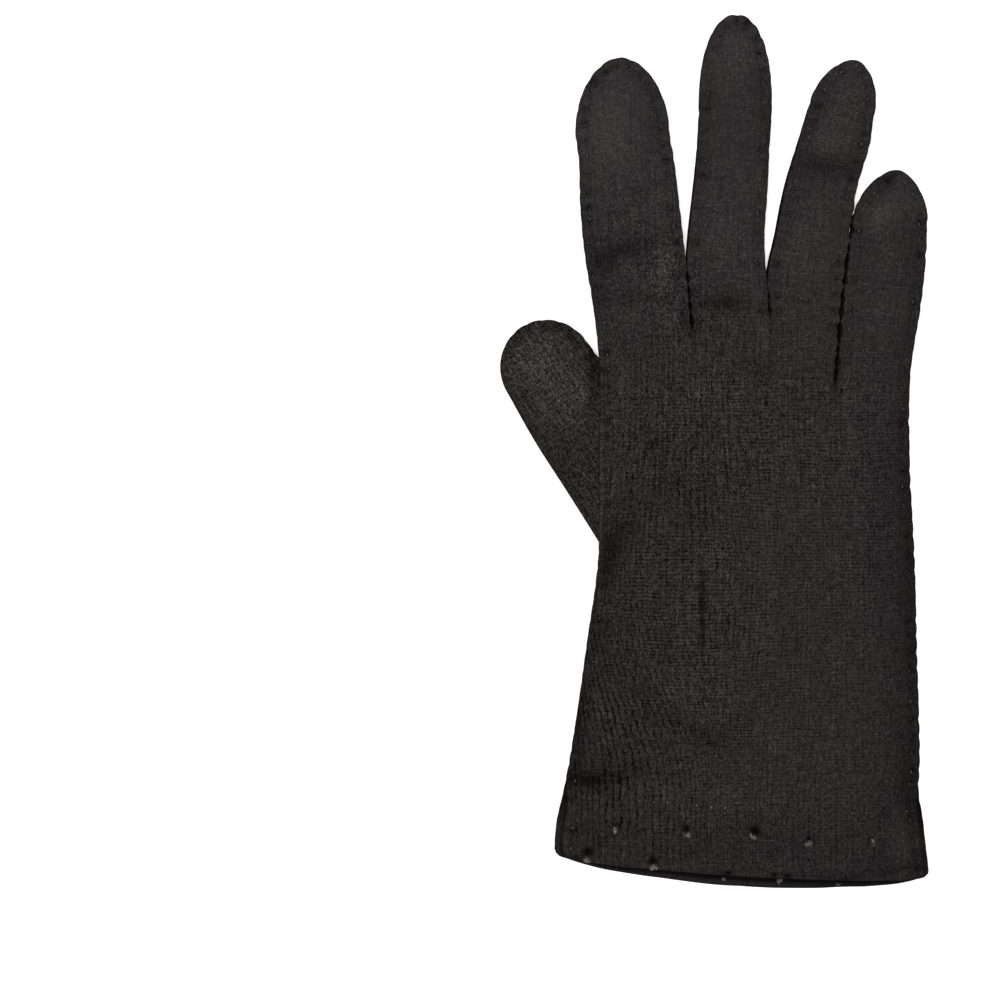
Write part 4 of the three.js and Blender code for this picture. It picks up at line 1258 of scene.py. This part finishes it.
# Materials
class Nodes:
    """Short way to write a material's nodes: each of these returns an output."""

    def __init__(self, name):
        self.material = bpy.data.materials.new(name)
        self.material.use_nodes = True
        self.tree = self.material.node_tree
        self.tree.nodes.clear()

    def add(self, kind, out=0, settings=None, **inputs):
        """Adds a node; its inputs go by name, with _ for each space, or by number, as in _0."""
        node = self.tree.nodes.new("ShaderNode" + kind)
        for key, value in (settings or {}).items():
            setattr(node, key, value)
        for key, value in inputs.items():
            socket = node.inputs[int(key[1:]) if key[0] == "_" else key.replace("_", " ")]
            if isinstance(value, bpy.types.NodeSocket):
                self.tree.links.new(value, socket)
            else:
                socket.default_value = value
        return node.outputs[out]

    def maths(self, operation, *values, clamp=False):
        inputs = {f"_{i}": value for i, value in enumerate(values)}
        return self.add("Math", 0, {"operation": operation, "use_clamp": clamp}, **inputs)

    def plus(self, *values):
        return self.maths("ADD", *values)

    def times(self, *values):
        return self.maths("MULTIPLY", *values)

    def looks(self, name, out="Fac"):
        return self.add("Attribute", out, {"attribute_name": name})

    def scaled(self, value, low, high, to_low, to_high):
        ends = {"From_Min": low, "From_Max": high, "To_Min": to_low, "To_Max": to_high}
        return self.add("MapRange", Value=value, **ends)

    def swing(self, noise, to_low, to_high):
        """Noise, scaled from the range that it mostly keeps to."""
        return self.scaled(noise, 0.3, 0.7, to_low, to_high)

    def noise(self, place, scale, detail, roughness=0.5):
        return self.add("TexNoise", Vector=place, Scale=scale, Detail=detail, Roughness=roughness)

    def per_cell(self, x, y):
        """Random value for each cell of two counts."""
        x, y = self.maths("FLOOR", x), self.maths("FLOOR", y)
        return self.add("TexWhiteNoise", Vector=self.add("CombineXYZ", _0=x, _1=y))

    def finish(self, **inputs):
        shader = self.add("BsdfPrincipled", **inputs)
        output = self.tree.nodes.new("ShaderNodeOutputMaterial")
        self.tree.links.new(shader, output.inputs["Surface"])
        return self.material


WALE = 0.56  # width of a column of the knit's loops
COURSE = 0.5  # height of a row of loops
RIB_COLUMNS, RIB_ROWS = 1.45, 0.92  # pitch of the lines that show across and along the knit
RIB_DEPTH, RIB_LIFT = 0.66, 0.22  # how much darker and lighter they are where they show fully
LOOP_SPREAD = 0.2  # how much darker or lighter one loop between them is


def knit_material(name, warm, cool):
    nodes = Nodes(name)
    here = nodes.add("TexCoord", "Object")
    tone, grain = nodes.looks("tone"), nodes.looks("grain")
    drift = nodes.swing(nodes.noise(here, 70, 2), -0.7, 0.7)
    counts = []
    for axis, pitch in ((0, WALE), (1, COURSE)):
        place = nodes.add("SeparateXYZ", axis, Vector=nodes.add("UVMap", 0, {"uv_map": "cloth"}))
        counts.append(nodes.plus(nodes.times(place, UV_UNIT / pitch), drift))
    u, v = counts

    # Columns of loops, each with two legs that slant away from its middle
    leg = nodes.maths("PINGPONG", u, 0.5)
    ridge = nodes.maths("PINGPONG", nodes.times(leg, 2.0), 0.5)
    slant = nodes.plus(v, nodes.times(leg, 1.3))
    loop = nodes.maths("PINGPONG", slant, 0.5)
    height = nodes.plus(nodes.times(ridge, 1.15), nodes.times(loop, 0.85))

    fine = nodes.noise(here, 3000, 3, 0.65)
    broad = nodes.noise(here, 120, 4, 0.6)
    tufts = nodes.noise(here, 1000, 2, 0.6)
    parts = [
        nodes.scaled(nodes.per_cell(nodes.times(u, 2.0), slant), 0, 1, 0.4, 1.6),
        nodes.swing(fine, 0.66, 1.34),
        nodes.swing(tufts, 0.76, 1.24),
    ]
    for along_u, along_v in ((0.9, 0.045), (0.09, 0.9)):  # streaks along the columns and the rows
        place = nodes.add("CombineXYZ", _0=nodes.times(u, along_u), _1=nodes.times(v, along_v))
        parts.append(nodes.scaled(nodes.noise(place, 1, 1), 0.25, 0.75, 0.72, 1.28))
    # The loops' relief also sets the colour: painted shade in the grooves between them, lighter on
    # their ridges
    texture = nodes.scaled(height, 0.1, 0.9, 0.5, 1.5)
    for part in parts:
        texture = nodes.times(texture, part)
    shown = nodes.times(nodes.maths("SUBTRACT", texture, 1.0), grain)

    # Lines of the knit's ribs, broken up by patches
    patch = nodes.scaled(nodes.noise(here, 260, 2), 0.35, 0.65, 0.2, 1.6)
    bends = nodes.swing(nodes.noise(here, 330, 1), -0.13, 0.13)
    wobble = nodes.plus(nodes.swing(tufts, -0.11, 0.11), bends)
    phases, waves, shares = [], [], []
    for axis, pitch, key in ((0, RIB_COLUMNS, "columns"), (1, RIB_ROWS, "rows")):
        place = nodes.add("SeparateXYZ", axis, Vector=nodes.looks("lattice", "Vector"))
        phases.append(nodes.plus(nodes.times(place, 1 / pitch), wobble))
        wave = nodes.scaled(nodes.maths("PINGPONG", phases[-1], 0.5), 0, 0.25, -RIB_DEPTH, RIB_LIFT)
        shares.append(nodes.times(nodes.looks(key), patch))
        waves.append(nodes.times(wave, shares[-1]))
    loop_tone = nodes.scaled(nodes.per_cell(*phases), 0, 1, -LOOP_SPREAD, LOOP_SPREAD)
    shown = nodes.plus(shown, nodes.plus(*waves))
    shown = nodes.plus(shown, nodes.times(loop_tone, nodes.maths("MAXIMUM", *shares)))

    factor = nodes.times(tone, nodes.maths("MAXIMUM", nodes.plus(shown, 1.0), 0.1))
    factor = nodes.times(factor, nodes.swing(broad, 0.92, 1.08))
    warmth = nodes.maths("ADD", nodes.looks("warmth"), nodes.swing(broad, -0.3, 0.3), clamp=True)
    hue = nodes.add("Mix", 2, {"data_type": "RGBA"}, _0=warmth, _6=(*cool, 1), _7=(*warm, 1))
    base = nodes.add("VectorMath", 0, {"operation": "SCALE"}, _0=hue, Scale=factor)
    lint = nodes.scaled(nodes.noise(here, 1900, 1), 0.68, 0.76, 0, 0.04)
    speck = nodes.times(nodes.times(lint, tone), grain)
    relief = nodes.plus(height, nodes.times(fine, 0.6))
    return nodes.finish(
        Base_Color=nodes.add("VectorMath", 0, {"operation": "ADD"}, _0=base, _1=speck),
        Roughness=nodes.swing(tufts, 0.88, 0.98),
        Normal=nodes.add("Bump", Strength=0.8, Distance=0.00009, Height=relief),
        Specular_IOR_Level=0.02,
        Sheen_Weight=0.02,
        Sheen_Roughness=0.5,
        Sheen_Tint=(0.8, 0.76, 0.74, 1),
    )


def thread_material(name, colour):
    nodes = Nodes(name)
    here = nodes.add("TexCoord", "Object")
    bands = {"bands_direction": "DIAGONAL"}
    twist = nodes.add("TexWave", 0, bands, Vector=here, Scale=1500.0, Distortion=2.0)
    grain = nodes.noise(here, 4000, 2)
    shade = nodes.times(nodes.scaled(twist, 0, 1, 0.72, 1.15), nodes.swing(grain, 0.8, 1.2))
    shade = nodes.times(shade, nodes.looks("tone"))
    return nodes.finish(
        Base_Color=nodes.add("VectorMath", 0, {"operation": "SCALE"}, _0=colour, Scale=shade),
        Roughness=nodes.swing(grain, 0.5, 0.7),
        Normal=nodes.add("Bump", Strength=0.7, Distance=0.00005, Height=twist),
        Specular_IOR_Level=0.15,
        Sheen_Weight=0.1,
    )


knit = knit_material("knit_cloth", (0.0191, 0.0160, 0.0144), (0.0175, 0.0160, 0.0163))
dark_thread = thread_material("sewing_thread", (0.046, 0.044, 0.043))
hem_thread = thread_material("hem_thread", (0.085, 0.08, 0.078))
light_thread = thread_material("knot_thread", (0.125, 0.114, 0.11))
for piece in (back, palm, thumb_piece, *gussets):
    piece.data.materials.append(knit)
for piece, thread in zip(stitches, (*[dark_thread] * 3, hem_thread, light_thread)):
    piece.data.materials.append(thread)


# Floor, light and camera
FLOOR_SIZE, FLOOR_LEVEL = 3000, -0.1
FLOOR_GLOW = 0.3  # light that comes up through the floor, as through a light table
LAMP = (-0.2, 0.05, 1.65)  # in metres
CAMERA = (-58.05, -13.23, 528.0)


def make_floor():
    size, low = FLOOR_SIZE, FLOOR_LEVEL
    corners = [(-size, -size, low), (size, -size, low), (size, size, low), (-size, size, low)]
    floor = make_object("floor", corners, [(0, 1, 2, 3)])
    nodes = Nodes("floor_paper")
    grain = nodes.noise(nodes.add("TexCoord", "Object"), 60, 3)
    floor.data.materials.append(nodes.finish(
        Base_Color=nodes.swing(grain, 0.79, 0.81),
        Roughness=0.9,
        Specular_IOR_Level=0.1,
        Emission_Color=(1, 1, 1, 1),
        Emission_Strength=FLOOR_GLOW,
    ))


make_floor()
world = bpy.data.worlds.new("studio")
world.use_nodes = True
background = world.node_tree.nodes["Background"]
background.inputs["Color"].default_value = (1, 1, 1, 1)
background.inputs["Strength"].default_value = 0.3
scene = bpy.context.scene
scene.world = world
scene.view_settings.view_transform = "Standard"
scene.view_settings.look = "None"
light = bpy.data.lights.new("key", "AREA")
light.shape, light.size, light.energy = "DISK", 1.1, 36
lamp = bpy.data.objects.new("key", light)
lamp.location = LAMP
lamp.rotation_mode = "QUATERNION"
lamp.rotation_quaternion = (-Vector(LAMP)).to_track_quat("-Z", "Y")
scene.collection.objects.link(lamp)
camera_data = bpy.data.cameras.new("camera")
camera_data.lens = 70
camera_data.sensor_width = 36
camera = bpy.data.objects.new("camera", camera_data)
camera.location = [value * MM for value in CAMERA]
scene.collection.objects.link(camera)
scene.camera = camera
